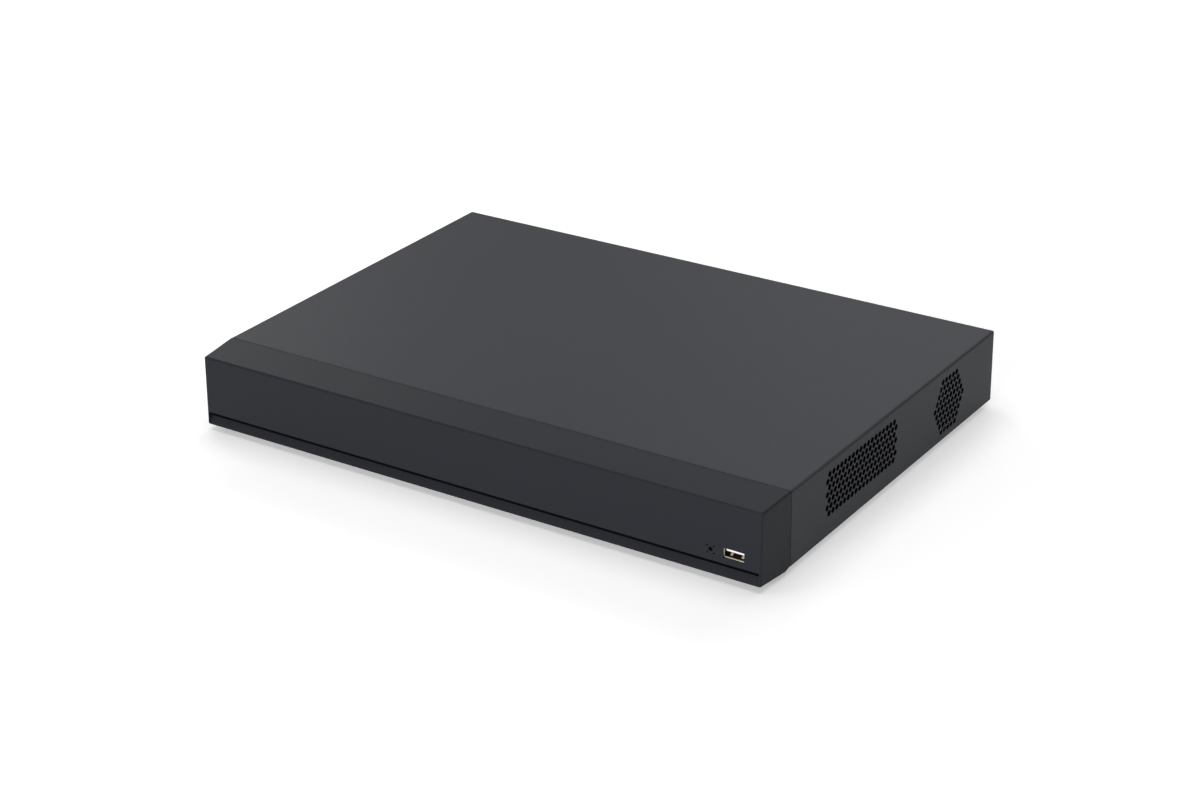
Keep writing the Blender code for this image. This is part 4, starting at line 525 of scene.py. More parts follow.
def barrel_profile(panel, reach, seat):
    """Outline of one bayonet barrel, from its bore out over the mouth and back to the module."""
    outline = [(0.0, reach - BORE_DEPTH), (BORE_RADIUS, reach - BORE_DEPTH), (BORE_RADIUS, reach - 0.35 * MM),
               (BORE_RADIUS + 0.3 * MM, reach), (BARREL_RADIUS - 0.25 * MM, reach),
               (BARREL_RADIUS, reach - 0.25 * MM)]
    groove_start = reach - 6.6 * MM
    bottom = BARREL_RADIUS - GROOVE_DEPTH
    for groove in range(GROOVES):
        start = groove_start - groove * GROOVE_PITCH
        outline += [(BARREL_RADIUS, start), (bottom, start - 0.25 * MM), (bottom, start - 0.5 * MM),
                    (BARREL_RADIUS, start - 0.75 * MM)]
    bush = panel + 2.6 * MM
    outline += [(BARREL_RADIUS, bush + 0.5 * MM), (BARREL_RADIUS + 0.3 * MM, bush),
                (BUSH_RADIUS - 0.3 * MM, bush), (BUSH_RADIUS, bush - 0.3 * MM), (BUSH_RADIUS, seat),
                (0.0, seat)]
    return outline


def camera_socket_pieces():
    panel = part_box("rear_panel")[1][1]
    for column in range(1, 9):
        node = f"camera_socket_{column}"
        low, high = corners_of(node)
        x = (low.x + high.x) / 2
        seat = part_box("rear_panel")[0][1] - 0.3 * MM
        module = bmesh.new()
        add_box(module, low, (high.x, seat, high.z))
        soften(module, 0.4 * MM)
        insulators = bmesh.new()
        contacts = bmesh.new()
        for z in (low.z + LOWER_AXIS, high.z - UPPER_AXIS):
            axis = (x, 0.0, z)
            add_turned(module, barrel_profile(panel, high.y, seat - 1.0 * MM), axis, "Y", 40)
            lug_y = high.y - LUG_BACK
            for side in (-1, 1):
                start = BARREL_RADIUS - 0.3 * MM
                lug = (x + side * (start + LUG_REACH) / 2, lug_y, z)
                add_rod(module, lug, LUG_RADIUS, LUG_REACH - start, "X", 16)
            face = high.y - 1.7 * MM
            deep = high.y - BORE_DEPTH
            insulator = outline_from(face, (0.85, -0.5), (1.05, 0.0), (2.2, 0.0), (2.4, -0.2))
            insulator += outline_from(deep, (2.4, 2.2), (3.9, 1.8), (3.9, 0.0), (0.0, 0.0))
            add_turned(insulators, insulator, axis, "Y", 32)
            add_turned(contacts, outline_from(face, (0.42, -3.0), (0.45, -0.1), (0.6, 0.12), (0.82, 0.0),
                                              (0.82, -3.0)), axis, "Y", 20)
        finished(node + "_shell", module, "nickel", stands_for=[node])
        finished(node + "_insulators", insulators, "white_plastic", material=PTFE)
        finished(node + "_contacts", contacts, "nickel", material=GILT)


# ==================== other rear sockets
def rounded_outline(centre_x, centre_z, half_x, half_z, skirt, radius, corner_steps=4):
    """Outline of a shell whose lower side is narrower by skirt at each end, with round corners."""
    corners = [(half_x, half_z), (-half_x, half_z), (-half_x + skirt, -half_z), (half_x - skirt, -half_z)]
    points = []
    for index, corner in enumerate(corners):
        before, here, after = Vector(corners[index - 1]), Vector(corner), Vector(corners[(index + 1) % 4])
        start = here + (before - here).normalized() * radius
        end = here + (after - here).normalized() * radius
        for step in range(corner_steps + 1):
            t = step / corner_steps
            bend = start * (1 - t) ** 2 + here * 2 * t * (1 - t) + end * t ** 2
            points.append((centre_x + bend.x, centre_z + bend.y))
    return points


def add_sleeve(shape, outline, inner, front, back):
    """Tube between two matching outlines of (x, z) points, from front to back along Y."""
    rings = [[(x, y, z) for x, z in points] for points, y in
             ((outline, back), (outline, front), (inner, front), (inner, back), (outline, back))]
    add_loft(shape, rings, closed_ends=False)
    bmesh.ops.remove_doubles(shape, verts=shape.verts, dist=0.001 * MM)


PHONO_ACROSS = 7.0 * MM       # each bore's centre from the block's middle
PHONO_UP = 6.5 * MM


def audio_pieces():
    """Four phono sockets: black block, metal sleeves and coloured collars round each bore."""
    low, high = corners_of("audio_sockets")
    inner_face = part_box("rear_panel")[0][1] - 0.3 * MM
    body = bmesh.new()
    add_box(body, low, (high.x, inner_face, high.z))
    finished("audio_block", body, "black_plastic", stands_for=["audio_sockets"], edge=0.5 * MM)
    middle = (low + high) / 2
    collars = {"white": (bmesh.new(), "white_plastic", PTFE), "red": (bmesh.new(), "red_cable", RED)}
    sleeves = bmesh.new()
    for across, colour in ((PHONO_ACROSS, "white"), (-PHONO_ACROSS, "red")):
        for up in (-PHONO_UP, PHONO_UP):
            axis = (middle.x + across, 0.0, middle.z + up)
            sleeve = outline_from(high.y, (3.35, -6.0), (3.35, -0.2), (3.55, 0.0), (4.05, 0.0), (4.2, -0.2))
            sleeve += [(4.2 * MM, inner_face), (3.35 * MM, inner_face)]
            add_turned(sleeves, sleeve, axis, "Y", 36)
            collar = outline_from(high.y, (0.0, -6.5), (1.6, -6.5), (1.7, -1.3), (2.0, -0.8), (3.3, -0.8))
            collar += [(3.3 * MM, inner_face), (0.0, inner_face)]
            add_turned(collars[colour][0], collar, axis, "Y", 36)
    finished("audio_sleeves", sleeves, "nickel")
    for colour, (shape, slot, material) in collars.items():
        finished(f"audio_collars_{colour}", shape, slot, material=material)


PIN_PITCH = 2.29 * MM
ROW_PITCH = 1.98 * MM
POST_OFFSET = 12.5 * MM       # jack posts from the socket's middle


def monitor_pieces():
    """Fifteen-way socket: tin shell round a blue face with three rows of holes, two jack posts."""
    low, high = corners_of("vga_socket")
    panel_in, panel_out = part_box("rear_panel")[0][1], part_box("rear_panel")[1][1]
    middle = (low + high) / 2
    body = bmesh.new()
    add_box(body, low, (high.x, panel_in - 0.3 * MM, high.z))
    finished("vga_block", body, "blue_plastic", stands_for=["vga_socket"], edge=0.4 * MM)
    outer = rounded_outline(middle.x, middle.z, 8.5 * MM, 4.2 * MM, 1.2 * MM, 1.6 * MM)
    inner = rounded_outline(middle.x, middle.z, 8.0 * MM, 3.7 * MM, 1.2 * MM, 1.3 * MM)
    shell = bmesh.new()
    add_sleeve(shell, outer, inner, high.y, panel_in - 0.5 * MM)
    finished("vga_shell", shell, "tin_shell")
    face = high.y - 1.0 * MM
    plug = bmesh.new()
    fitted = rounded_outline(middle.x, middle.z, 7.6 * MM, 3.3 * MM, 1.1 * MM, 1.1 * MM)
    add_loft(plug, [[(x, panel_in, z) for x, z in fitted], [(x, face, z) for x, z in fitted]])
    holes = bmesh.new()
    for row, shift in enumerate((0.0, 0.57, 0.0)):
        for hole in range(5):
            place = (middle.x + (hole - 2 + shift) * PIN_PITCH, face, middle.z + (1 - row) * ROW_PITCH)
            add_rod(holes, place, 0.5 * MM, 6.0 * MM, "Y", 12)
    finished("vga_face", carved(plug, holes), "blue_plastic")
    posts = bmesh.new()
    for side in (-1, 1):
        axis = (middle.x + side * POST_OFFSET, 0.0, middle.z)
        end = panel_out + 4.2 * MM
        hexagon, bore = 2.77 * MM, 1.25 * MM
        rim = (hexagon - 0.4 * MM, end)
        add_turned(posts, [(hexagon, panel_in - 1.0 * MM), (hexagon, end - 0.3 * MM), rim], axis, "Y", 6)
        add_turned(posts, [(bore, end - 3.0 * MM), (bore, end - 0.1 * MM), rim], axis, "Y", 24)
    finished("vga_posts", posts, "nickel", sharp=30.0)


def hdmi_pieces():
    low, high = corners_of("hdmi_socket")
    middle = (low + high) / 2
    mouth = high.y
    liner = bmesh.new()
    add_block(liner, (middle.x, mouth - 5.4 * MM, middle.z - 0.8 * MM), 11.2, 7.2, 1.6)
    finished("hdmi_tongue_cover", liner, "black_plastic", edge=0.15 * MM)
    contacts = bmesh.new()
    for index in range(10):
        x = middle.x + (index - 4.5) * 1.0 * MM
        for level in (-0.86, 0.86):
            z = middle.z + level * MM
            add_strip(contacts, [(x, mouth - 2.4 * MM, z), (x, mouth - 8.5 * MM, z)], 0.42 * MM, 0.1 * MM)
    finished("hdmi_contacts", contacts, "nickel", material=GILT)


def network_pieces():
    """Lining, eight slanted spring wires and the two lamps of the network socket."""
    low, high = corners_of("network_socket")
    middle_x = (low.x + high.x) / 2
    sill = low.z + 3.6 * MM
    mouth = high.y
    deep = mouth - 12.4 * MM
    wires = bmesh.new()
    for index in range(8):
        x = middle_x + (index - 3.5) * 1.02 * MM
        add_strip(wires, [(x, mouth - 2.6 * MM, sill + 7.9 * MM), (x, mouth - 3.6 * MM, sill + 7.2 * MM),
                          (x, mouth - 8.0 * MM, sill + 4.9 * MM), (x, deep, sill + 3.6 * MM)],
                  0.45 * MM, 0.3 * MM)
    finished("network_wires", wires, "nickel", material=GILT)
    back = bmesh.new()
    add_block(back, (middle_x, deep + 0.1 * MM, sill + 0.05 * MM), 11.7, 0.4, 8.1)
    finished("network_lining", back, "black_plastic", edge=0.1 * MM)
    for name, side, slot, material in (("left", -1, "green_plastic", GREEN_LAMP),
                                       ("right", 1, "white_plastic", AMBER)):
        lamp = bmesh.new()
        x = middle_x + side * 6.0 * MM
        add_block(lamp, (x, mouth - 0.3 * MM, low.z + 0.7 * MM), 2.6, 1.0, 1.5)
        finished(f"network_lamp_{name}", lamp, slot, material=material, edge=0.2 * MM)


def terminal_pieces():
    """Screw terminals: green block with wire holes in front, slotted screws in wells on top."""
    low, high = corners_of("terminal_block")
    ways = 8
    pitch = (high.x - low.x) / ways
    block = bmesh.new()
    add_box(block, low, high)
    soften(block, 0.25 * MM)
    openings, screws, slots, clamps = [bmesh.new() for _ in range(4)]
    for way in range(ways):
        x = low.x + (way + 0.5) * pitch
        add_block(openings, (x, high.y - 1.0 * MM, low.z + 1.5 * MM), 2.6, 6.0, 3.0)
        well = Vector((x, high.y - 3.2 * MM, high.z))
        add_rod(openings, well, 1.45 * MM, 3.0 * MM, "Z", 20)
        head = well - Vector((0.0, 0.0, 0.6 * MM))
        add_turned(screws, outline_from(0.0, (0.0, 0.0), (1.15, 0.0), (1.3, -0.15), (1.3, -0.9), (0.0, -0.9)),
                   head, "Z", 20)
        slot_turn = Matrix.Rotation(0.5 + 0.35 * way, 3, "Z")
        for vertex in add_block(slots, (0.0, 0.0, -0.35 * MM), 3.0, 0.4, 0.85):
            vertex.co = slot_turn @ vertex.co + head
        add_block(clamps, (x, high.y - 2.35 * MM, low.z + 1.6 * MM), 2.4, 2.7, 0.3)
    finished("terminal_housing", carved(block, openings), "green_plastic", stands_for=["terminal_block"])
    finished("terminal_screws", carved(screws, slots), "nickel")
    finished("terminal_clamps", clamps, "nickel", edge=0.08 * MM)


JACK_AXIS = 7.2 * MM          # above the jack's underside


def jack_pieces():
    low, high = corners_of("power_jack")
    x = (low.x + high.x) / 2
    axis = (x, 0.0, low.z + JACK_AXIS)
    pin = bmesh.new()
    add_turned(pin, outline_from(high.y, (0.0, -0.9), (0.7, -1.0), (1.1, -1.6), (1.1, -9.2), (0.0, -9.2)),
               axis, "Y", 24)
    finished("jack_pin_plating", pin, "nickel")
    sleeve = bmesh.new()
    add_turned(sleeve, outline_from(high.y, (3.02, -8.6), (3.02, -0.8), (3.16, -0.7), (3.16, -8.6)),
               axis, "Y", 32)
    finished("jack_sleeve", sleeve, "nickel")


ROCKER_TILT = 8.0             # degrees from upright


def switch_pieces():
    """Snap-in frame with a rounded rim, and the dished rocker with its on and off marks."""
    low, high = corners_of("power_switch_frame")
    x, z = (low.x + high.x) / 2, (low.z + high.z) / 2
    panel_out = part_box("rear_panel")[1][1]
    frame_shape = bmesh.new()
    add_box(frame_shape, (low.x, panel_out + 0.3 * MM, low.z), high)
    soften(frame_shape, 0.6 * MM, 3)
    add_box(frame_shape, (low.x + 1.0 * MM, low.y, low.z + 1.0 * MM),
            (high.x - 1.0 * MM, panel_out + 1.0 * MM, high.z - 1.0 * MM))
    cell = bmesh.new()
    add_block(cell, (x, high.y - 2.0 * MM, z - 7.3 * MM), 10.6, 14.0, 14.6)
    finished("switch_bezel", carved(frame_shape, cell), "black_plastic", stands_for=["power_switch_frame"])

    swing = math.radians(ROCKER_TILT)
    half, wide, out = 6.3 * MM, 4.8 * MM, 1.7 * MM
    steps = 12
    turn = Matrix.Translation((x, high.y, z)) @ Matrix.Rotation(swing, 4, "X")

    def dish(t):
        return out - half * math.tan(swing) * (1.0 - t * t) * 0.9

    side_view = [(dish(2 * i / steps - 1), half * (2 * i / steps - 1)) for i in range(steps + 1)]
    side_view += [(0.0, half), (-6.0 * MM, half * 0.5), (-6.0 * MM, -half * 0.5), (0.0, -half)]
    rocker = bmesh.new()
    add_loft(rocker, [[turn @ Vector((end, y, height)) for y, height in side_view] for end in (-wide, wide)])
    finished("rocker_cap", rocker, "black_plastic", body="power_rocker", stands_for=["power_rocker"],
             edge=0.25 * MM, sharp=30.0)
    marks = bmesh.new()
    bar_y = dish(0.55)
    for vertex in add_box(marks, (-0.3 * MM, bar_y - 0.2 * MM, half * 0.35),
                          (0.3 * MM, bar_y + 0.12 * MM, half * 0.75)):
        vertex.co = turn @ vertex.co
    ring_place = turn @ Vector((0.0, dish(-0.55), -half * 0.55))
    add_turned(marks, outline_from(0.0, (0.75, -0.2), (0.75, 0.12), (1.3, 0.12), (1.3, -0.2)),
               ring_place, "Y", 28)
    finished("rocker_marks", marks, "white_plastic", body="power_rocker")


def rear_socket_pieces():
    camera_socket_pieces()
    audio_pieces()
    monitor_pieces()
    hdmi_pieces()
    network_pieces()
    terminal_pieces()
    jack_pieces()
    switch_pieces()


# ==================== fan
BLADES = 7
HUB_RADIUS = 8.5 * MM
STRUTS = 3
STRUT_WIDTH = 2.2 * MM
STRUT_TURN = 0.5              # radians
SCREW_INSET = 4.0 * MM
BLADE_ROOT = HUB_RADIUS - 0.8 * MM
BLADE_GAP = 0.9 * MM          # tip to bore
BLADE_SWEEP = 0.36            # radians at the tip


def fan_pieces():
    low, high = corners_of("fan_frame")
    centre = (low + high) / 2
    half = (high.y - low.y) / 2
    bore = half - 1.0 * MM
    housing = bmesh.new()
    corner = 3.0 * MM
    outline = rounded_outline(centre.y, centre.z, half, half, 0.0, corner)
    add_loft(housing, [[(x, y, z) for y, z in outline] for x in (low.x, high.x)])
    openings = bmesh.new()
    wide, flare = bore + 0.8 * MM, bore + 0.6 * MM
    add_turned(openings, [(0.0, high.x + MM), (wide, high.x + MM), (flare, high.x), (bore, high.x - 1.5 * MM),
                          (bore, low.x + 1.5 * MM), (flare, low.x), (wide, low.x - MM), (0.0, low.x - MM)],
               (0.0, centre.y, centre.z), "X", 64)
    reach = half - SCREW_INSET
    for y_side in (-1, 1):
        for z_side in (-1, 1):
            add_rod(openings, (centre.x, centre.y + y_side * reach, centre.z + z_side * reach), 1.8 * MM,
                    3 * (high.x - low.x), "X", 20)
    finished("fan_housing", carved(housing, openings), "black_plastic", stands_for=["fan_frame"])

    carrier = bmesh.new()
    plate = (low.x + 1.1 * MM, centre.y, centre.z)
    add_turned(carrier, [(0.0, 1.1 * MM), (HUB_RADIUS - 0.4 * MM, 1.1 * MM), (HUB_RADIUS, 0.7 * MM),
                         (HUB_RADIUS, -1.1 * MM), (0.0, -1.1 * MM)], plate, "X", 40)
    arm = STRUT_WIDTH / 2
    for strut in range(STRUTS):
        angle = 2 * math.pi * strut / STRUTS + STRUT_TURN
        turn = Matrix.Translation(plate) @ Matrix.Rotation(angle, 4, "X")
        for vertex in add_box(carrier, (-arm, -arm, 0.0), (arm, arm, bore + 0.4 * MM)):
            vertex.co = turn @ vertex.co
    finished("fan_motor_carrier", carrier, "black_plastic")

    rotor_low, rotor_high = corners_of("fan_rotor")
    rotor = bmesh.new()
    length = rotor_high.x - rotor_low.x
    add_turned(rotor, [(0.0, length - 0.5 * MM), (3.0 * MM, length - 0.5 * MM), (3.3 * MM, length),
                       (HUB_RADIUS - 1.0 * MM, length), (HUB_RADIUS - 0.3 * MM, length - 0.3 * MM),
                       (HUB_RADIUS, length - 1.0 * MM), (HUB_RADIUS, 0.0), (0.0, 0.0)],
               (rotor_low.x, centre.y, centre.z), "X", 48)
    tip = bore - BLADE_GAP
    stations, chord_steps = 6, 6
    for blade in range(BLADES):
        turn = Matrix.Rotation(2 * math.pi * blade / BLADES, 3, "X")
        rings = []
        for station in range(stations + 1):
            share = station / stations
            radius = BLADE_ROOT + (tip - BLADE_ROOT) * share
            sweep = BLADE_SWEEP * share ** 1.3
            pitch = math.radians(46.0 - 16.0 * share)
            chord = (9.0 + 2.4 * share) * MM
            upper, lower = [], []
            for step in range(chord_steps + 1):
                t = step / chord_steps - 0.5
                camber = 0.9 * MM * (1 - 4 * t * t)
                thick = 0.5 * MM * (1.0 - 3.2 * t * t)
                across = chord * t
                for side, points in ((1, upper), (-1, lower)):
                    off = camber + side * thick
                    angle = (across * math.sin(pitch) + off * math.cos(pitch)) / radius + sweep
                    along = rotor_low.x + length / 2 + across * math.cos(pitch) - off * math.sin(pitch)
                    point = Vector((0.0, math.sin(angle) * radius, math.cos(angle) * radius))
                    point = turn @ point
                    points.append((along, centre.y + point.y, centre.z + point.z))
            rings.append(upper + list(reversed(lower)))
        add_loft(rotor, rings)
    finished("fan_blades", rotor, "black_plastic", body="fan_rotor", stands_for=["fan_rotor"], sharp=50.0)


# ==================== hard drive
LID_SCREW_INSET = 4.5 * MM
LABEL_WIDTH = 72.0 * MM


def drive_pieces():
    """Pressed lid with its raised motor boss, lid screws and a blank label."""
    low, high = corners_of("drive_lid")
    middle_x = (low.x + high.x) / 2
    lid = bmesh.new()
    add_box(lid, low, high)
    soften(lid, 0.5 * MM)
    spindle = centre_of("drive_platters")
    add_turned(lid, outline_from(0.0, (0.0, 0.35), (16.0, 0.35), (17.2, 0.0), (17.2, -0.4), (0.0, -0.4)),
               (spindle.x, spindle.y, high.z), "Z", 56)
    recess = bmesh.new()
    add_box(recess, (low.x + 12.0 * MM, high.y - 44.0 * MM, high.z - 0.4 * MM),
            (high.x - 12.0 * MM, high.y - 8.0 * MM, high.z + 1.0 * MM))
    soften(recess, 0.9 * MM, 3)
    finished("drive_lid_pressing", carved(lid, recess), "nickel", material=BRUSHED, stands_for=["drive_lid"])
    heads, stars = bmesh.new(), bmesh.new()
    screw_head = outline_from(0.0, (0.0, 0.55), (1.9, 0.55), (2.3, 0.2), (2.3, -0.2), (0.0, -0.2))
    for y in (low.y + LID_SCREW_INSET, (low.y + high.y) / 2, high.y - LID_SCREW_INSET):
        for x in (low.x + LID_SCREW_INSET, high.x - LID_SCREW_INSET):
            add_turned(heads, screw_head, (x, y, high.z), "Z", 28)
            add_rod(stars, (x, y, high.z + 0.4 * MM), 1.0 * MM, 0.7 * MM, "Z", 6)
    finished("drive_lid_screws", carved(heads, stars), "nickel")
    label = bmesh.new()
    add_box(label, (middle_x - LABEL_WIDTH / 2, low.y + 64.0 * MM, high.z + 0.02 * MM),
            (middle_x + LABEL_WIDTH / 2, high.y - 50.0 * MM, high.z + 0.14 * MM))
    finished("drive_blank_label", label, "white_plastic", material=PAPER, edge=0.04 * MM)


# ==================== boards
def add_can(metal, skirt, x, y, base, radius, height):
    """Electrolytic capacitor: sleeve with a rolled top edge on a narrower foot."""
    foot, top, lid = radius * 0.9, radius * 0.82, height + 0.02 * MM
    add_turned(skirt, [(radius * 0.8, height), (radius, height - 0.35 * MM), (radius, 0.9 * MM),
                       (foot, 0.6 * MM), (foot, 0.0), (0.0, 0.0)], (x, y, base), "Z", 28)
    add_turned(metal, [(0.0, lid), (top, lid), (top, height - 0.3 * MM)], (x, y, base), "Z", 28)


def add_chip(body, legs, x, y, base, wide, deep, tall, pins):
    """Flat package with gull-wing legs along its two long sides."""
    add_box(body, (x - wide / 2, y - deep / 2, base + 0.2 * MM), (x + wide / 2, y + deep / 2, base + tall))
    row = wide * 0.92
    shoulder, toe = base + tall * 0.5, base + 0.1 * MM
    for side in (-1, 1):
        edge = y + side * deep / 2
        for pin in range(pins):
            at = x + ((pin + 0.5) / pins - 0.5) * row
            add_strip(legs, [(at, edge, shoulder), (at, edge + side * 0.5 * MM, shoulder),
                             (at, edge + side * 0.8 * MM, toe), (at, edge + side * 1.5 * MM, toe)],
                      0.35 * row / pins, 0.12 * MM)


CAN_RADIUS = 3.1 * MM
COIL_TURNS = 5
PACKAGES = (                  # mm: across, behind the board's front edge, width, depth; and legs a side
    (-34.0, 24.0, 14.0, 10.0, 12), (-34.0, 42.0, 14.0, 10.0, 12), (-56.0, 24.0, 14.0, 10.0, 12),
    (-56.0, 42.0, 14.0, 10.0, 12), (-84.0, 34.0, 12.0, 7.0, 14), (-110.0, 30.0, 8.0, 4.0, 8),
    (66.0, 44.0, 9.0, 5.0, 8), (84.0, 42.0, 6.0, 4.0, 4), (-132.0, 36.0, 9.0, 5.0, 8),
)


def main_board_pieces():
    """Parts on the main board's free half: capacitors, coils, packages, headers and passives."""
    low, high = corners_of("main_board")
    top = high.z
    skirts, cans = bmesh.new(), bmesh.new()
    for index in range(6):
        add_can(cans, skirts, high.x - (10.0 + 9.0 * (index % 3)) * MM,
                low.y + (26.0 + 10.5 * (index // 3)) * MM, top, CAN_RADIUS, 8.0 * MM)
    for index in range(4):
        add_can(cans, skirts, low.x + (12.0 + 11.0 * index) * MM,
                high.y - 24.0 * MM, top, CAN_RADIUS, 7.5 * MM)
    finished("capacitor_sleeves", skirts, "chip", material=CHIP)
    finished("capacitor_tops", cans, "cast_aluminium")

    coils, wire = bmesh.new(), bmesh.new()
    core = outline_from(0.0, (0.0, 4.2), (3.1, 4.2), (3.5, 3.8), (3.5, 3.2), (2.4, 3.1), (2.4, 0.8),
                        (0.0, 0.8))
    turns = outline_from(0.0, (2.4, 0.85))
    for turn in range(COIL_TURNS):
        turns += outline_from((0.9 + 0.44 * turn) * MM, (2.9, 0.1), (2.9, 0.3), (2.6, 0.42))
    for index in range(4):
        x, y = high.x - (42.0 + 14.0 * (index % 2)) * MM, low.y + (14.0 + 12.5 * (index // 2)) * MM
        add_block(coils, (x, y, top), 7.2, 7.2, 0.8)
        add_turned(coils, core, (x, y, top), "Z", 32)
        add_turned(wire, turns, (x, y, top), "Z", 32)
    finished("coil_cores", coils, "sink")
    finished("coil_windings", wire, "nickel", material=COPPER)

    bodies, legs = bmesh.new(), bmesh.new()
    for x, y, wide, deep, pins in PACKAGES:
        add_chip(bodies, legs, x * MM, low.y + y * MM, top, wide * MM, deep * MM, 1.3 * MM, pins)
    finished("board_packages", bodies, "chip", edge=0.15 * MM)
    finished("board_package_legs", legs, "nickel")

    passives, ends = bmesh.new(), bmesh.new()
    for row in range(5):
        for index in range(26 - 3 * row):
            x = low.x + (16.0 + 9.2 * index + 3.0 * row) * MM
            y = low.y + (6.0 + 2.2 * row + 0.65 * ((index * 7 + row * 3) % 5 - 2)) * MM
            if -20.0 * MM < x < 48.0 * MM and row > 1:
                continue
            add_block(passives, (x, y, top), 1.0, 0.8, 0.45)
            for side in (-1, 1):
                add_block(ends, (x + side * 0.5 * MM, y, top), 0.32, 0.84, 0.48)
    finished("board_passives", passives, "chip", edge=0.05 * MM)
    finished("board_passive_ends", ends, "nickel")

    headers, pins = bmesh.new(), bmesh.new()
    drive_y = low.y + 9.1 * MM
    landings = [(centre_of("drive_data_lead").x, drive_y, 9.0, 5.4),
                (centre_of("drive_power_lead").x, drive_y, 10.0, 6.0),
                (high.x - 10.6 * MM, low.y + 7.8 * MM, 12.0, 5.0),
                (high.x - 18.6 * MM, low.y + 18.3 * MM, 8.0, 5.0)]
    for x, y, wide, deep in landings:
        add_block(headers, (x, y, top), wide, deep, 5.6)
        front = y - deep / 2 * MM
        for index in range(4):
            at = x + (index - 1.5) * wide / 5 * MM
            add_block(pins, (at, front - 0.5 * MM, top + 0.1 * MM), 0.6, 1.4, 0.3)
    finished("board_headers", headers, "white_plastic", edge=0.3 * MM)
    finished("board_header_pins", pins, "nickel")

    cell_low, cell_high = corners_of("clock_battery")
    middle = (cell_low + cell_high) / 2
    radius = (cell_high.x - cell_low.x) / 2
    holder = bmesh.new()
    inner, outer, rim = radius + 0.3 * MM, radius + 1.6 * MM, 2.6 * MM
    add_turned(holder, [(inner, rim), (outer - 0.2 * MM, rim), (outer, rim - 0.2 * MM), (outer, 0.0),
                        (inner, 0.0), (inner, rim)], (middle.x, middle.y, top), "Z", 56)
    finished("battery_holder", holder, "black_plastic")
    strap = bmesh.new()
    side = middle.x - radius
    add_strip(strap, [(side - 2.4 * MM, middle.y, top + 0.2 * MM),
                      (side - 1.9 * MM, middle.y, top + 2.8 * MM),
                      (side - 0.9 * MM, middle.y, cell_high.z + 0.35 * MM),
                      (middle.x - 3.0 * MM, middle.y, cell_high.z + 0.15 * MM)],
              4.0 * MM, 0.25 * MM, (0.0, 1.0, 0.0))
    finished("battery_strap", strap, "nickel")


HEADER_HEIGHT = 12.5 * MM     # where the front lead leaves the front board


def front_board_pieces():
    low, high = corners_of("front_board")
    lamps, plug = bmesh.new(), bmesh.new()
    dome = outline_from(0.0, (0.0, 3.2), (0.9, 2.9), (1.4, 2.1), (1.5, 0.4), (1.8, 0.4), (1.8, 0.0),
                        (0.0, 0.0))
    for index in range(3):
        x = low.x + (6.0 + 5.0 * index) * MM
        add_turned(lamps, dome, (x, low.y - 3.4 * MM, low.z + 4.0 * MM), "Y", 24)
    finished("status_lamps", lamps, "green_plastic", material=GREEN_LAMP)
    lead_low, lead_high = corners_of("front_lead")
    x = lead_high.x - 7.6 * MM
    add_box(plug, (x - 5.0 * MM, high.y + 0.05 * MM, HEADER_HEIGHT - 2.6 * MM),
            (x + 5.0 * MM, lead_low.y + 2.0 * MM, HEADER_HEIGHT + 2.6 * MM))
    finished("front_board_header", plug, "white_plastic", edge=0.3 * MM)


fasteners_and_feet()
# The front socket's springs take the pale copy of tin: painted highlight.
usb_details("front_usb", -1, PAINTED_HIGHLIGHT_TIN)
usb_details("rear_usb", 1, TIN)
front_usb_mouth()
rear_socket_pieces()
fan_pieces()
drive_pieces()
main_board_pieces()
front_board_pieces()


# ==================== camera, floor and light
CAMERA_PLACE = (0.75149, -1.13296, 0.64730)
CAMERA_TURN = (64.811, 0.887, 33.296)    # degrees about X, Y and Z
LENS = 76.74                             # mm on a 36 mm wide film
FLOOR_GLOW = 0.33
FLOOR_DROP = 0.2 * MM                    # under the feet
SKY_GLOW = 0.06


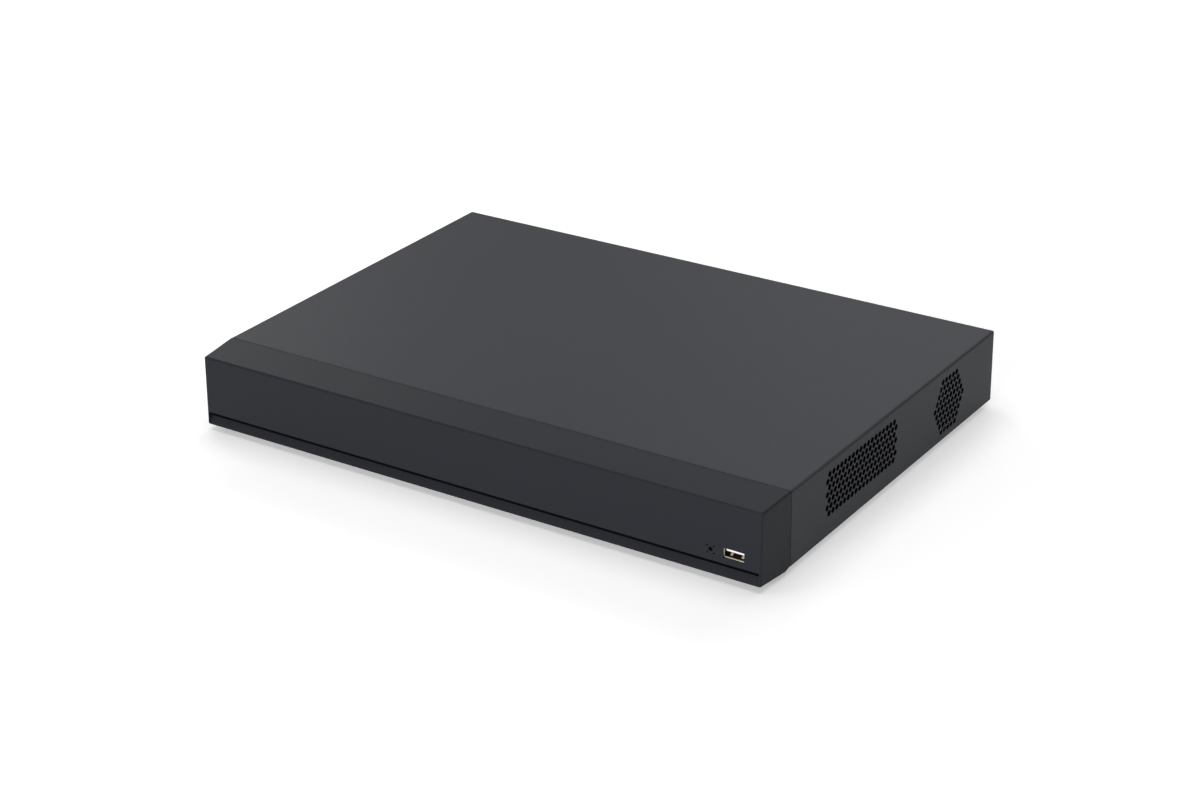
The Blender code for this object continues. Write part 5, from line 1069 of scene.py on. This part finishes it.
def make_camera():
    view = bpy.data.cameras.new("camera")
    view.lens = LENS
    view.sensor_width = 36.0
    view.clip_end = 50.0
    camera = bpy.data.objects.new("camera", view)
    camera.location = CAMERA_PLACE
    camera.rotation_euler = [math.radians(angle) for angle in CAMERA_TURN]
    put_in_scene(camera)
    bpy.context.scene.camera = camera


def make_floor():
    mesh = bpy.data.meshes.new("floor")
    size = 12.0
    mesh.from_pydata([(-size, -size, 0), (size, -size, 0), (size, size, 0), (-size, size, 0)], [],
                     [(0, 1, 2, 3)])
    floor = bpy.data.objects.new("floor", mesh)
    floor.location.z = -FLOOR_DROP
    put_in_scene(floor)
    mesh.materials.append(principled("floor_paper", (0.93, 0.93, 0.93), 0.9, Specular_IOR_Level=0.1,
                                     Emission_Color=(1.0, 1.0, 1.0, 1.0), Emission_Strength=FLOOR_GLOW))


def soft_light(name, place, size, power):
    """White rectangular lamp aimed at the middle of the floor."""
    lamp = bpy.data.lights.new(name, "AREA")
    lamp.shape = "RECTANGLE"
    lamp.size, lamp.size_y = size
    lamp.energy = power
    light = bpy.data.objects.new(name, lamp)
    light.location = place
    aim = Vector((0.0, 0.0, 0.0)) - Vector(place)
    light.rotation_euler = aim.to_track_quat("-Z", "Y").to_euler()
    put_in_scene(light)


def make_studio():
    world = bpy.data.worlds.new("studio")
    world.use_nodes = True
    sky = world.node_tree.nodes["Background"]
    sky.inputs["Color"].default_value = (1.0, 1.0, 1.0, 1.0)
    sky.inputs["Strength"].default_value = SKY_GLOW
    bpy.context.scene.world = world
    soft_light("overhead", (0.0, 0.0, 2.0), (2.0, 2.0), 22.5)
    soft_light("behind", (-0.3, 2.1, 1.4), (1.6, 0.8), 15.0)
    soft_light("behind_left", (-1.4, 1.9, 1.2), (1.2, 0.9), 4.0)
    soft_light("left", (-1.8, 1.0, 0.9), (1.0, 0.8), 9.0)
    soft_light("front_left", (-1.6, -1.7, 0.9), (1.2, 0.8), 5.0)
    soft_light("front", (0.2, -1.8, 0.35), (0.8, 0.4), 20.0)
    bpy.context.scene.view_settings.view_transform = "Standard"


make_camera()
make_floor()
make_studio()
